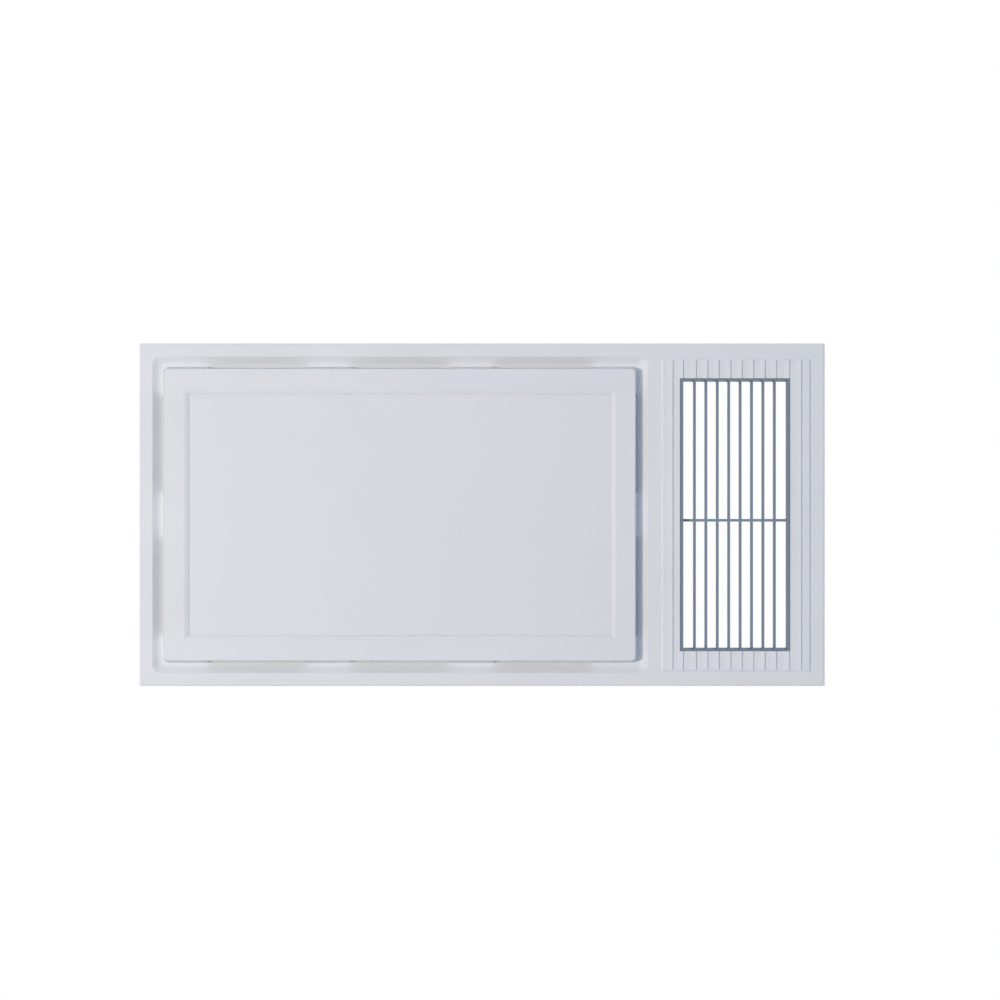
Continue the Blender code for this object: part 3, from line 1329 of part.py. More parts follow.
def damper_blade():
    """Flap that hangs over the heater's nose and swings up to close the roof opening."""
    half = BLADE_THICKNESS / 2
    bore = SHAFT_RADIUS + FIT
    tip = HINGE_Z - BLADE_REACH
    centre = (HINGE_X, HINGE_Z)
    blade = solid("damper_blade", ALUMINIUM, turned([
        (bore, -BLADE_SIDE),
        (bore, BLADE_SIDE),
        (bore + HEM_THICKNESS, BLADE_SIDE),
        (bore + HEM_THICKNESS, -BLADE_SIDE),
    ], SMALL_SEGMENTS, "Y", centre, bored=True))
    root = HINGE_Z - bore - HEM_THICKNESS / 2
    fuse(blade, block((HINGE_X - half, -BLADE_SIDE, tip), (HINGE_X + half, BLADE_SIDE, root)))
    return blade


def damper_seal():
    """Foam frame on the blade that meets the heater's nose."""
    right = HINGE_X - BLADE_THICKNESS / 2 - FIT
    top = min(NOSE_TOP, HINGE_Z - SHAFT_RADIUS - SEAL_WIDTH)
    outer = rectangle((-NOSE_SIDE, NOSE_FLOOR), (NOSE_SIDE, top))
    inner = rectangle((SEAL_WIDTH - NOSE_SIDE, NOSE_FLOOR + SEAL_WIDTH),
                      (NOSE_SIDE - SEAL_WIDTH, top - SEAL_WIDTH))
    return solid("damper_seal", DARK_FOAM, tube(outer, inner, right - SEAL_THICKNESS, right, "X"))


def damper_shaft():
    """Round shaft through the blade's hem, the bushes and the motor's bore."""
    near = -CASING_SIDE - BUSH_FLANGE_THICKNESS - FIT
    far = CASING_SIDE + BUSH_FLANGE_THICKNESS + 2 * FIT + DAMPER_MOTOR_BORE - SHAFT_RADIUS / 2
    return solid("damper_shaft", SPRING_STEEL, pin(
        SHAFT_RADIUS, near, far, SMALL_SEGMENTS, "Y", (HINGE_X, HINGE_Z)))


def damper_bush(index, side):
    """Flanged bush in the casing's side."""
    bore = SHAFT_RADIUS + FIT
    inner = side * (INNER_SIDE - BUSH_INNER_REACH)
    seat = side * (CASING_SIDE + FIT)
    outer = side * (CASING_SIDE + FIT + BUSH_FLANGE_THICKNESS)
    return solid(f"damper_bush_{index}", BLACK_NYLON, turned([
        (bore, inner),
        (BUSH_RADIUS, inner),
        (BUSH_RADIUS, seat),
        (BUSH_FLANGE_RADIUS, seat),
        (BUSH_FLANGE_RADIUS, outer),
        (bore, outer),
    ], SMALL_SEGMENTS, "Y", (HINGE_X, HINGE_Z), bored=True))


def damper_motor():
    """Geared motor on the end of the damper's shaft, stood off the casing on two pads."""
    face = CASING_SIDE + BUSH_FLANGE_THICKNESS + 2 * FIT
    bore = SHAFT_RADIUS + FIT
    motor = solid("damper_motor", GREY_NYLON, turned([
        (bore, face + DAMPER_MOTOR_BORE),
        (bore, face),
        (DAMPER_MOTOR_RADIUS, face),
        (DAMPER_MOTOR_RADIUS, face + DAMPER_MOTOR_LENGTH),
    ], ROUND_SEGMENTS, "Y", (HINGE_X, HINGE_Z)))
    half = DAMPER_MOTOR_EAR_WIDTH / 2
    wall = CASING_SIDE + FIT
    inner = DAMPER_MOTOR_RADIUS - half / 2
    back = face + BUSH_FLANGE_THICKNESS
    fuse(motor, *[
        block((min(HINGE_X + side * inner, HINGE_X + side * DAMPER_MOTOR_EAR_REACH), wall,
               HINGE_Z - BUSH_FLANGE_RADIUS - half),
              (max(HINGE_X + side * inner, HINGE_X + side * DAMPER_MOTOR_EAR_REACH), back,
               HINGE_Z - BUSH_FLANGE_RADIUS + half))
        for side in (-1, 1)
    ])
    return motor


def damper_stop():
    """Angle on the end wall that the raised blade closes against."""
    right = INNER_END - FIT
    floor = HINGE_Z + BLADE_THICKNESS / 2 + STOP_GAP
    top = ROOF_FLOOR - FIT
    side = BLADE_SIDE
    outline = [
        (right - STOP_LIP, floor),
        (right, floor),
        (right, top),
        (right - SHEET, top),
        (right - SHEET, floor + SHEET),
        (right - STOP_LIP, floor + SHEET),
    ]
    return solid("damper_stop", GALVANISED, prism(outline, -side, side, "Y"))


def control_box():
    """Open plastic box on the deck, against the end wall, with four pillars for the board."""
    outer = rectangle((BOX_LEFT, BOX_NEAR), (BOX_RIGHT, BOX_FAR))
    inner = rectangle((BOX_LEFT + BOX_WALL, BOX_NEAR + BOX_WALL),
                      (BOX_RIGHT - BOX_WALL, BOX_FAR - BOX_WALL))
    floor = BLOWER_FLOOR
    box = solid("control_box", BLACK_NYLON, loft([
        (outer, floor),
        (outer, floor + BOX_HEIGHT),
        (inner, floor + BOX_HEIGHT),
        (inner, floor + BOX_WALL),
    ]))
    top = floor + BOX_WALL + BOARD_LIFT - FIT
    fuse(box, *[pin(PILLAR_RADIUS, floor + BOX_WALL / 2, top, centre=place)
                for place in pillar_places()])
    cut(box, pin(GLAND_RADIUS + FIT, BOX_LEFT - OVERRUN, BOX_LEFT + BOX_WALL + OVERRUN,
                 SMALL_SEGMENTS, "X", (GLAND_Y, GLAND_Z)))
    return box


def pillar_places():
    """Pillars stand under the board's corners."""
    inset = BOX_WALL + BOARD_MARGIN + 2 * PILLAR_RADIUS
    return [
        (x, y)
        for x in (BOX_LEFT + inset, BOX_RIGHT - inset)
        for y in (BOX_NEAR + inset, BOX_FAR - inset)
    ]


def control_cover():
    """Lid of the control box, with a lip inside its walls."""
    floor = BLOWER_FLOOR + BOX_HEIGHT + FIT
    cover = solid("control_cover", BLACK_NYLON, block(
        (BOX_LEFT, BOX_NEAR, floor), (BOX_RIGHT, BOX_FAR, floor + COVER_THICKNESS)))
    inset = BOX_WALL + FIT
    outer = rectangle((BOX_LEFT + inset, BOX_NEAR + inset), (BOX_RIGHT - inset, BOX_FAR - inset))
    inset += COVER_THICKNESS
    inner = rectangle((BOX_LEFT + inset, BOX_NEAR + inset), (BOX_RIGHT - inset, BOX_FAR - inset))
    fuse(cover, tube(outer, inner, floor - COVER_LIP, floor + COVER_THICKNESS / 2))
    return cover


def board_top():
    """Height of the control board's upper face."""
    return BLOWER_FLOOR + BOX_WALL + BOARD_LIFT + BOARD_THICKNESS


def control_board():
    """Circuit board on the box's pillars."""
    inset = BOX_WALL + BOARD_MARGIN
    top = board_top()
    return solid("control_board", GREEN_BOARD, block(
        (BOX_LEFT + inset, BOX_NEAR + inset, top - BOARD_THICKNESS),
        (BOX_RIGHT - inset, BOX_FAR - inset, top)))


def board_spot(shares):
    """A place on the board, at shares of the box's length and width."""
    x_share, y_share = shares
    return (BOX_LEFT + x_share * BOX_LENGTH, BOX_NEAR + y_share * BOX_WIDTH)


def on_board(size, shares):
    """A block of a given size standing on the board."""
    length, width, height = size
    x, y = board_spot(shares)
    floor = board_top() + FIT
    return block((x - length / 2, y - width / 2, floor), (x + length / 2, y + width / 2, floor + height))


def board_parts():
    """Relay, terminal block and run capacitor on the board."""
    solid("relay", GREY_NYLON, on_board(RELAY_SIZE, RELAY_SHARES))
    terminals = solid("terminal_block", GREY_NYLON, on_board(TERMINAL_BLOCK_SIZE, TERMINAL_SHARES))
    length, width, height = TERMINAL_BLOCK_SIZE
    x, y = board_spot(TERMINAL_SHARES)
    pitch = width / TERMINAL_WAYS
    start = y - width / 2 + pitch / 2
    top = board_top() + FIT + height
    cut(terminals, *[
        pin(pitch / 3, top - height / 4, top + OVERRUN, SMALL_SEGMENTS // 2,
            centre=(x, start + index * pitch))
        for index in range(TERMINAL_WAYS)
    ])
    floor = board_top() + FIT
    solid("run_capacitor", ALUMINIUM, pin(
        CAPACITOR_RADIUS, floor, floor + CAPACITOR_HEIGHT, ROUND_SEGMENTS // 2,
        centre=board_spot(CAPACITOR_SHARES)))


def led_driver():
    """Lamp driver on the deck beside the control box, with an ear at each end."""
    near = BOX_FAR + DRIVER_GAP
    far = INNER_SIDE - DRIVER_WALL_GAP
    x = (BOX_LEFT + BOX_RIGHT) / 2
    floor = BLOWER_FLOOR
    half = DRIVER_LENGTH / 2
    driver = solid("led_driver", WHITE_ABS, block(
        (x - half, near, floor), (x + half, far, floor + DRIVER_HEIGHT)))
    middle = (near + far) / 2
    reach = half + DRIVER_EAR
    fuse(driver, block((x - reach, middle - DRIVER_EAR, floor),
                       (x + reach, middle + DRIVER_EAR, floor + DRIVER_EAR_THICKNESS)))
    return driver


def cable_gland():
    """Gland through the end wall and the control box, and its nut inside the box."""
    seat = -CASING_END - FIT
    brim = seat - GLAND_FLANGE
    nose = brim - GLAND_NOSE
    inner = BOX_LEFT + BOX_WALL + GLAND_TAIL
    place = (GLAND_Y, GLAND_Z)
    solid("cable_gland", BLACK_NYLON, turned([
        (GLAND_BORE, inner),
        (GLAND_RADIUS, inner),
        (GLAND_RADIUS, seat),
        (GLAND_FLANGE_RADIUS, seat),
        (GLAND_FLANGE_RADIUS, brim),
        (GLAND_RADIUS, brim),
        (GLAND_RADIUS - GLAND_NOSE / 4, nose),
        (GLAND_BORE, nose),
    ], SMALL_SEGMENTS, "X", place, bored=True))
    start = BOX_LEFT + BOX_WALL + FIT
    end = start + GLAND_NUT_HEIGHT
    nut = solid("gland_nut", BLACK_NYLON, prism(circle(GLAND_NUT_RADIUS, 6, place), start, end, "X"))
    cut(nut, pin(GLAND_RADIUS + FIT, start - OVERRUN, end + OVERRUN, SMALL_SEGMENTS, "X", place))


def casing_pieces():
    """Everything fixed above the ceiling."""
    casing()
    extract_collar()
    throat_plate()
    partition_plate()
    hanger_x = HANGER_SPAN_SHARE * CASING_END
    for index, (x, y) in enumerate(four_ways(hanger_x, CASING_SIDE), start=1):
        hanger_bracket(index, x, math.copysign(1, y))
    fan_deck()
    inlet_ring()
    blower_scroll()
    motor_plate()
    motor_can()
    transition_duct()
    heater_frame()
    heater_core()
    heater_terminals()
    thermal_cutout()
    damper_bush(1, -1)
    damper_bush(2, 1)
    damper_motor()
    damper_stop()
    control_box()
    control_cover()
    control_board()
    board_parts()
    led_driver()
    cable_gland()


def face_pieces():
    """Every piece that comes down with the face, apart from the lamp."""
    springs = [
        face_spring(index, x, y)
        for index, (x, y) in enumerate(four_ways(SPRING_X, SPRING_Y), start=1)
    ]
    return [face_panel(), grille_sleeve(), outlet_grille(), outlet_gasket()] + springs


def main():
    """Make every piece and hang the moving ones on their axes."""
    clear_scene()
    casing_pieces()
    carry("impeller_axis", (BLOWER_X, 0.0, WHEEL_TOP), wheel_pieces())
    carry("damper_axis", (HINGE_X, 0.0, HINGE_Z), [damper_blade(), damper_seal(), damper_shaft()])
    face = carry("face_slide", (0.0, 0.0, FACE_FRONT), face_pieces())
    carry("lamp_slide", (LAMP_X, 0.0, LAMP_FRONT), lamp_pieces(), face)


main()
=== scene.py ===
"""Looks of a bathroom ceiling heater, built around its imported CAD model.

All lengths are in metres. +X is the photograph's right, +Y its bottom, +Z up into the ceiling.
"""

import json
import math

import bmesh
import bpy
from mathutils import Matrix, Vector


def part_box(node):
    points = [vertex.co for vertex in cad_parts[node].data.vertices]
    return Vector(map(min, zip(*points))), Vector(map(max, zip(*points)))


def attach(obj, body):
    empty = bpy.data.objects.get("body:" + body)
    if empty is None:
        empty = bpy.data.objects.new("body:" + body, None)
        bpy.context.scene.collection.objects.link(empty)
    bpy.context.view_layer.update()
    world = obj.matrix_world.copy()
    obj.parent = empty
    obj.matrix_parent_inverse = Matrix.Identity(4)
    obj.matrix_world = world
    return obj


TURN = 2.0 * math.pi
SIDES = (-1, 1)
UP = (0, 0, 1)
DOWN = (0, 0, -1)
ALONG_X = (1, 0, 0)
ALONG_Y = (0, 1, 0)
BLACK = (0.0, 0.0, 0.0)
WHITE = (1.0, 1.0, 1.0)

# Camera, straight below the face
LENS = 150.0
SENSOR = 36.0
CAMERA_PLACE = (0.0157, -0.0129, -3.6610)
CAMERA_TURN = (math.pi, 0.0, 0.0)
CLIP_END = 60.0

# Floor below the camera, and the light of the air
FLOOR_LEVEL = -4.6
FLOOR_REACH = 25.0
FLOOR_CORNERS = ((-1, -1), (1, -1), (1, 1), (-1, 1))
FLOOR_COLOUR = (0.80, 0.81, 0.82)
FLOOR_DARK = 0.99
FLOOR_CLOUDS = 0.8
FLOOR_ROUGHNESS = 0.9
FLOOR_GLOW_SHARE = 0.7
FLOOR_GLOW = 0.90
AIR_COLOUR = (0.33, 0.385, 0.485)

# Lamps: name, place, target, width, watts, colour
FACE_MIDDLE = (0.0, 0.0, 0.0)
WALL_MIDDLE = (0.0, 0.0, 0.08)
ROOF_MIDDLE = (0.0, 0.0, 0.1)
LAMPS = (
    ("key", (-1.90, 0.05, -2.82), FACE_MIDDLE, 0.50, 53.0, (1.0, 0.868, 0.66)),
    ("front", (-0.85, -0.30, -2.86), FACE_MIDDLE, 1.6, 17.9, (0.77, 0.87, 1.0)),
    ("top_left", (-1.6, -1.5, 2.4), ROOF_MIDDLE, 1.2, 16.0, (1.0, 0.985, 0.96)),
    ("top_right", (1.8, 0.9, 2.0), ROOF_MIDDLE, 1.2, 9.0, (0.93, 0.97, 1.0)),
    ("side_front", (0.6, -2.6, 0.5), WALL_MIDDLE, 1.0, 7.0, (1.0, 0.98, 0.95)),
    ("side_back", (-0.5, 2.6, 0.6), WALL_MIDDLE, 1.0, 6.0, (0.94, 0.97, 1.0)),
)

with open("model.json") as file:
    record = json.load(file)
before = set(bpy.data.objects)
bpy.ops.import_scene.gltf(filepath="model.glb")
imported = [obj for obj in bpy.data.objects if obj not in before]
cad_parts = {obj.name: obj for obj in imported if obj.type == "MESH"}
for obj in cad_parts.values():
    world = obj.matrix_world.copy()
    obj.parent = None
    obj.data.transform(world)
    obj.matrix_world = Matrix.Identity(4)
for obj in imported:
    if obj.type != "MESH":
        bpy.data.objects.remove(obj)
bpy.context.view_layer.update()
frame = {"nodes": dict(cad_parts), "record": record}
nodes = frame["nodes"]


# Materials

MIDDLE = (0.3, 0.7)  # the values that most of a noise falls between
WHOLE = (0.0, 1.0)
EDGE_WINDOW = (0.02, 0.30)  # how far a normal turns where an edge begins and ends
BEVEL_SAMPLES = 4
MIX_COLOURS = (6, 7)  # places of the colour sockets in Blender's Mix node
MIX_RESULT = 2


class Surface:
    """A Principled material with its textures in the part's own metres."""

    def __init__(self, name, **sockets):
        self.material = bpy.data.materials.new(name)
        self.material.use_nodes = True
        self.tree = self.material.node_tree
        self.shader = self.tree.nodes["Principled BSDF"]
        for socket, value in sockets.items():
            self.shader.inputs[socket.replace("_", " ")].default_value = value
        self.place = self.node("TexCoord").outputs["Object"]
        self.normal = None

    def put(self, target, value):
        """Links an output to a socket, or sets the socket to a plain value."""
        if isinstance(value, bpy.types.NodeSocket):
            self.tree.links.new(value, target)
        else:
            target.default_value = value

    def node(self, kind, values=None, **settings):
        """Adds a node with its settings and the values or links of its sockets."""
        made = self.tree.nodes.new("ShaderNode" + kind)
        for key, value in settings.items():
            setattr(made, key, value)
        for socket, value in (values or {}).items():
            self.put(made.inputs[socket], value)
        return made

    def noise(self, scale, detail=2.0, stretch=None):
        """Noise with so many features in a metre, squeezed along the axes of a stretch."""
        place = self.place
        if stretch is not None:
            place = self.node("Mapping", {"Vector": place, "Scale": stretch}).outputs["Vector"]
        values = {"Vector": place, "Scale": scale, "Detail": detail}
        return self.node("TexNoise", values).outputs["Fac"]

    def cells(self, scale):
        """Distance from the middle of the nearest of so many cells in a metre."""
        values = {"Vector": self.place, "Scale": scale}
        return self.node("TexVoronoi", values).outputs["Distance"]

    def fit(self, value, window=MIDDLE, to=WHOLE):
        """Carries a window of values over to another range, and stops at its ends."""
        return self.node("MapRange", {
            "Value": value,
            "From Min": window[0], "From Max": window[1], "To Min": to[0], "To Max": to[1],
        }).outputs["Result"]

    def calc(self, operation, first, second=0.0):
        values = {0: first, 1: second}
        return self.node("Math", values, operation=operation).outputs["Value"]

    def mix(self, share, first, second):
        """The first colour where the share is 0 and the second where it is 1."""
        made = self.node("Mix", {"Factor": share}, data_type="RGBA")
        for index, value in zip(MIX_COLOURS, (first, second)):
            plain = not isinstance(value, bpy.types.NodeSocket)
            self.put(made.inputs[index], (*value, 1.0) if plain else value)
        return made.outputs[MIX_RESULT]

    def colour(self, value):
        self.put(self.shader.inputs["Base Color"], value)

    def roughness(self, value):
        self.put(self.shader.inputs["Roughness"], value)

    def turn_normal(self, normal):
        self.normal = normal
        self.put(self.shader.inputs["Normal"], normal)

    def bevel(self, radius):
        return self.node("Bevel", {"Radius": radius}, samples=BEVEL_SAMPLES).outputs["Normal"]

    def soften(self, radius):
        """Rounds the shading over each sharp edge."""
        self.turn_normal(self.bevel(radius))

    def edges(self, radius):
        """1 along edges within the radius and 0 elsewhere."""
        values = {0: self.bevel(radius), 1: self.node("NewGeometry").outputs["Normal"]}
        dot = self.node("VectorMath", values, operation="DOT_PRODUCT").outputs["Value"]
        return self.fit(self.calc("SUBTRACT", 1.0, dot), EDGE_WINDOW)

    def bump(self, pattern, height):
        """Raises the surface by up to a height in metres where the pattern is 1."""
        values = {"Height": pattern, "Distance": height}
        if self.normal is not None:
            values["Normal"] = self.normal
        self.turn_normal(self.node("Bump", values).outputs["Normal"])


def tinted(colour, share):
    """A colour made darker or paler."""
    return tuple(min(1.0, part * share) for part in colour)


FLOW_STRETCH = (1.0, 1.6, 1.0)
FLOW_DARK, FLOW_PALE = 0.985, 1.012
WORN_PALE = 1.06
WEAR_REACH = 2.5  # how much wider the wear is than the softened edge
FINE_GRAIN = 0.000012
NYLON_GRAIN = 0.00002
WAVE_TO_GRAIN = 3.0


def moulded(name, colour, rough, edge, grain=FINE_GRAIN, **sockets):
    """Moulded plastic: spark-eroded grain, slow flow marks and polished, paler edges."""
    look = Surface(name, **sockets)
    flow = look.noise(scale=9.0, detail=3.0, stretch=FLOW_STRETCH)
    flow = look.fit(flow, window=(0.35, 0.65))
    base = look.mix(flow, tinted(colour, FLOW_DARK), tinted(colour, FLOW_PALE))
    handled = look.fit(look.noise(scale=260.0), window=(0.35, 0.7), to=(0.1, 0.5))
    worn = look.calc("MULTIPLY", look.edges(WEAR_REACH * edge), handled)
    look.colour(look.mix(worn, base, tinted(colour, WORN_PALE)))
    look.roughness(look.fit(look.noise(scale=34.0, detail=4.0), to=rough))
    look.soften(edge)
    look.bump(look.noise(scale=2600.0, detail=1.0), height=grain)
    look.bump(look.noise(scale=60.0, detail=1.0), height=WAVE_TO_GRAIN * grain)
    return look.material


def opal(name, dark, pale, rough, **sockets):
    """Opal sheet: smooth, with a very faint cloud and wave."""
    look = Surface(name, **sockets)
    look.colour(look.mix(look.fit(look.noise(scale=5.0)), dark, pale))
    look.roughness(look.fit(look.noise(scale=22.0, detail=3.0), to=rough))
    look.bump(look.noise(scale=1800.0, detail=1.0), height=0.000006)
    look.bump(look.noise(scale=14.0, detail=1.0), height=0.00002)
    return look.material


DOT_WINDOW = (0.35, 0.5)
DOT_ROUGHER = 0.3


def dotted(name, colour, dot_colour, pitch, rough, **sockets):
    """Sheet with the printed dots that spread an edge light."""
    look = Surface(name, **sockets)
    parts = look.node("SeparateXYZ", {"Vector": look.place}).outputs
    waves = [
        look.calc("SINE", look.calc("MULTIPLY", parts[axis], TURN / pitch))
        for axis in ("X", "Y")
    ]
    dots = look.fit(look.calc("MULTIPLY", *waves), DOT_WINDOW)
    look.colour(look.mix(dots, colour, dot_colour))
    look.roughness(look.fit(dots, WHOLE, to=(rough, rough + DOT_ROUGHER)))
    return look.material


LINE_STRETCH = 0.02
LINE_DARK, LINE_PALE = 0.93, 1.05
STAIN_DARK = 0.84
METAL_WORN_PALE = 1.2
METAL_WORN_SHARE = 0.5
METAL_WORN_REACH = 0.0008
METAL_EDGE = 0.0003
LINE_HEIGHT = 0.000012


def brushed(name, colour, along, rough=(0.28, 0.42), lines=900.0):
    """Rolled or brushed metal with fine lines along one axis, and brighter worn edges."""
    look = Surface(name, Metallic=1.0)
    stretch = tuple(LINE_STRETCH if axis == along else 1.0 for axis in "XYZ")
    streaks = look.noise(scale=lines, detail=3.0, stretch=stretch)
    stains = look.noise(scale=24.0, detail=4.0)
    base = look.mix(look.fit(streaks), tinted(colour, LINE_DARK), tinted(colour, LINE_PALE))
    stained = look.fit(stains, window=(0.52, 0.75), to=(0.0, 0.35))
    base = look.mix(stained, base, tinted(colour, STAIN_DARK))
    worn = look.calc("MULTIPLY", look.edges(METAL_WORN_REACH), METAL_WORN_SHARE)
    look.colour(look.mix(worn, base, tinted(colour, METAL_WORN_PALE)))
    dull = look.fit(stains, window=(0.4, 0.75), to=(0.0, 0.12))
    look.roughness(look.calc("ADD", look.fit(streaks, to=rough), dull))
    look.soften(METAL_EDGE)
    look.bump(streaks, height=LINE_HEIGHT)
    return look.material


ZINC_METALLIC = 0.85
ZINC_DARK, ZINC_PALE = (0.47, 0.49, 0.515), (0.62, 0.64, 0.66)
ZINC_FEATHER = (0.55, 0.57, 0.60)
ZINC_DUST = (0.42, 0.43, 0.44)
ZINC_SCRATCH = (0.74, 0.75, 0.77)
ZINC_WORN = (0.80, 0.81, 0.83)
ZINC_WORN_REACH = 0.0009
ZINC_WORN_SHARE = 0.6
ZINC_EDGE = 0.0004
CRYSTAL_SCALE = 95.0
CRYSTAL_HEIGHT = 0.00004
FEATHER_STRETCH = (1.0, 0.25, 1.0)
FEATHER_HEIGHT = 0.00001
SCRATCH_STRETCH = (0.03, 1.0, 1.0)
DUST_DULLER = 0.4


def galvanised(name):
    """Zinc-coated sheet: crystal spangle, rolling lines, handling scratches and dull, dusty
    patches.
    """
    look = Surface(name, Metallic=ZINC_METALLIC)
    warp = look.noise(scale=40.0)
    shift = look.node("CombineXYZ", {
        "X": look.fit(warp, WHOLE, to=(0.0, 0.006)), "Y": look.fit(warp, WHOLE, to=(0.004, 0.0)),
    }).outputs["Vector"]
    bent = look.node("VectorMath", {0: look.place, 1: shift}, operation="ADD").outputs["Vector"]
    crystals = look.node("TexVoronoi", {"Vector": bent, "Scale": CRYSTAL_SCALE}).outputs
    shade = look.node("SeparateColor", {"Color": crystals["Color"]}).outputs
    base = look.mix(shade["Red"], ZINC_DARK, ZINC_PALE)
    feather = look.noise(scale=700.0, detail=3.0, stretch=FEATHER_STRETCH)
    base = look.mix(look.fit(feather, window=(0.35, 0.7), to=(0.0, 0.4)), base, ZINC_FEATHER)
    dust = look.fit(look.noise(scale=7.0, detail=5.0), window=(0.48, 0.72), to=(0.0, 0.35))
    base = look.mix(dust, base, ZINC_DUST)
    scratch = look.noise(scale=420.0, stretch=SCRATCH_STRETCH)
    scratch = look.fit(scratch, window=(0.70, 0.76), to=(0.0, 0.6))
    base = look.mix(scratch, base, ZINC_SCRATCH)
    worn = look.calc("MULTIPLY", look.edges(ZINC_WORN_REACH), ZINC_WORN_SHARE)
    look.colour(look.mix(worn, base, ZINC_WORN))
    dull = look.fit(shade["Green"], WHOLE, to=(0.34, 0.50))
    look.roughness(look.calc("ADD", dull, look.calc("MULTIPLY", dust, DUST_DULLER)))
    look.soften(ZINC_EDGE)
    look.bump(crystals["Distance"], height=CRYSTAL_HEIGHT)
    look.bump(feather, height=FEATHER_HEIGHT)
    return look.material


# The foam's own colour between its pits, and the painted shade at the bottom of each pit
FOAM_PIT_SHADE, FOAM_PALE = (0.025, 0.026, 0.03), (0.075, 0.076, 0.082)


def foam(name):
    """Closed-cell foam: small open pits, with painted shade darkening the bottom of each pit."""
    look = Surface(name, IOR=1.4)
    pits = look.cells(scale=520.0)
    # Painted shade: the colour darkens towards the middle of each pit, where the bump is lowest
    look.colour(look.mix(look.fit(pits, window=(0.1, 0.6)), FOAM_PIT_SHADE, FOAM_PALE))
    look.roughness(look.fit(pits, window=(0.0, 0.7), to=(0.95, 0.8)))
    look.bump(pits, height=0.0004)
    return look.material


BOARD_GREEN, COPPER_GREEN = (0.012, 0.12, 0.055), (0.03, 0.24, 0.11)
TINNED = (0.62, 0.62, 0.60)
COPPER_RUNS = {"Scale": 120.0, "Mortar Size": 0.012, "Brick Width": 0.9, "Row Height": 0.31}


def circuit_board(name):
    """Green board with plain copper runs under the mask and tinned spots."""
    look = Surface(name, IOR=1.5, Coat_Weight=0.3, Coat_Roughness=0.2)
    runs = look.node("TexBrick", {
        "Vector": look.place, **COPPER_RUNS,
        "Color1": (*BLACK, 1.0), "Color2": (*BLACK, 1.0), "Mortar": (*WHITE, 1.0),
    }).outputs["Color"]
    spots = look.fit(look.cells(scale=210.0), window=(0.20, 0.16))
    look.colour(look.mix(spots, look.mix(runs, BOARD_GREEN, COPPER_GREEN), TINNED))
    look.roughness(look.fit(look.noise(scale=300.0), to=(0.25, 0.4)))
    lumps = look.fit(look.noise(scale=900.0), to=(0.0, 0.3))
    look.bump(look.calc("ADD", spots, lumps), height=0.00008)
    return look.material


CERAMIC_DARK, CERAMIC_PALE = (0.74, 0.70, 0.62), (0.82, 0.78, 0.70)
CERAMIC_SPECK = (0.60, 0.56, 0.49)
SAND_SCALE = 1400.0


def ceramic(name):
    """Fired ceramic with a slightly sandy skin."""
    look = Surface(name, IOR=1.55)
    speck = look.fit(look.noise(SAND_SCALE), window=(0.55, 0.75))
    body = look.mix(look.fit(look.noise(scale=30.0, detail=3.0)), CERAMIC_DARK, CERAMIC_PALE)
    look.colour(look.mix(speck, body, CERAMIC_SPECK))
    look.roughness(look.fit(speck, WHOLE, to=(0.55, 0.8)))
    look.bump(look.noise(SAND_SCALE), height=0.00003)
    return look.material


# The record's material slots, and what makes the material of each
LOOKS = {
    "white_abs": (moulded, {
        "colour": (0.780, 0.790, 0.820), "rough": (0.60, 0.70), "edge": 0.00014, "IOR": 1.5,
    }),
    "opal_acrylic": (opal, {
        "dark": (0.768, 0.772, 0.800), "pale": (0.780, 0.783, 0.810), "rough": (0.50, 0.60),
        "IOR": 1.49,
    }),
    "clear_acrylic": (dotted, {
        "colour": (0.86, 0.89, 0.90), "dot_colour": (0.93, 0.94, 0.95), "pitch": 0.0022,
        "rough": 0.06, "IOR": 1.49, "Transmission_Weight": 0.85,
    }),
    "white_film": (dotted, {
        "colour": (0.84, 0.85, 0.86), "dot_colour": (0.90, 0.91, 0.92), "pitch": 0.0016,
        "rough": 0.55,
    }),
    "tray_aluminium": (brushed, {"colour": (0.74, 0.75, 0.77), "along": "X"}),
    "blue_grey_abs": (moulded, {
        "colour": (0.20, 0.255, 0.335), "rough": (0.36, 0.48), "edge": 0.0001,
    }),
    "slate_abs": (moulded, {
        "colour": (0.215, 0.275, 0.36), "rough": (0.40, 0.52), "edge": 0.0003,
    }),
    "galvanised_steel": (galvanised, {}),
    "spring_steel": (brushed, {
        "colour": (0.46, 0.47, 0.49), "along": "Z", "rough": (0.22, 0.36), "lines": 1200.0,
    }),
    "black_nylon": (moulded, {
        "colour": (0.030, 0.031, 0.035), "rough": (0.42, 0.62), "edge": 0.0004,
        "grain": NYLON_GRAIN,
    }),
    "grey_nylon": (moulded, {
        "colour": (0.28, 0.29, 0.31), "rough": (0.45, 0.62), "edge": 0.0004,
        "grain": NYLON_GRAIN,
    }),
    "foam_rubber": (foam, {}),
    "circuit_board": (circuit_board, {}),
    "brass": (brushed, {
        "colour": (0.70, 0.50, 0.22), "along": "Z", "rough": (0.25, 0.4), "lines": 1500.0,
    }),
    "heater_ceramic": (ceramic, {}),
}
materials = {slot: make(slot, **settings) for slot, (make, settings) in LOOKS.items()}


def dress_nodes():
    """Gives each CAD node the material of its slot."""
    for part in frame["record"]["subparts"]:
        node = nodes[part["node"]]
        if not node.material_slots:
            node.data.materials.append(None)
        for spot in node.material_slots:
            spot.link = "OBJECT"
            spot.material = materials[part["material_slot"]]


# Mesh tools for the small pieces that the solids leave to the looks

CRISP_ANGLE = math.radians(38.0)
EDGE_SEGMENTS = 2


def piece(name, mesh, slot, body):
    """Adds a finished mesh as a piece that rides on a body."""
    data = bpy.data.meshes.new(name)
    mesh.to_mesh(data)
    mesh.free()
    data.shade_smooth()
    data.materials.append(materials[slot])
    made = bpy.data.objects.new(name, data)
    bpy.context.scene.collection.objects.link(made)
    made.modifiers.new("crisp", "EDGE_SPLIT").split_angle = CRISP_ANGLE
    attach(made, body)


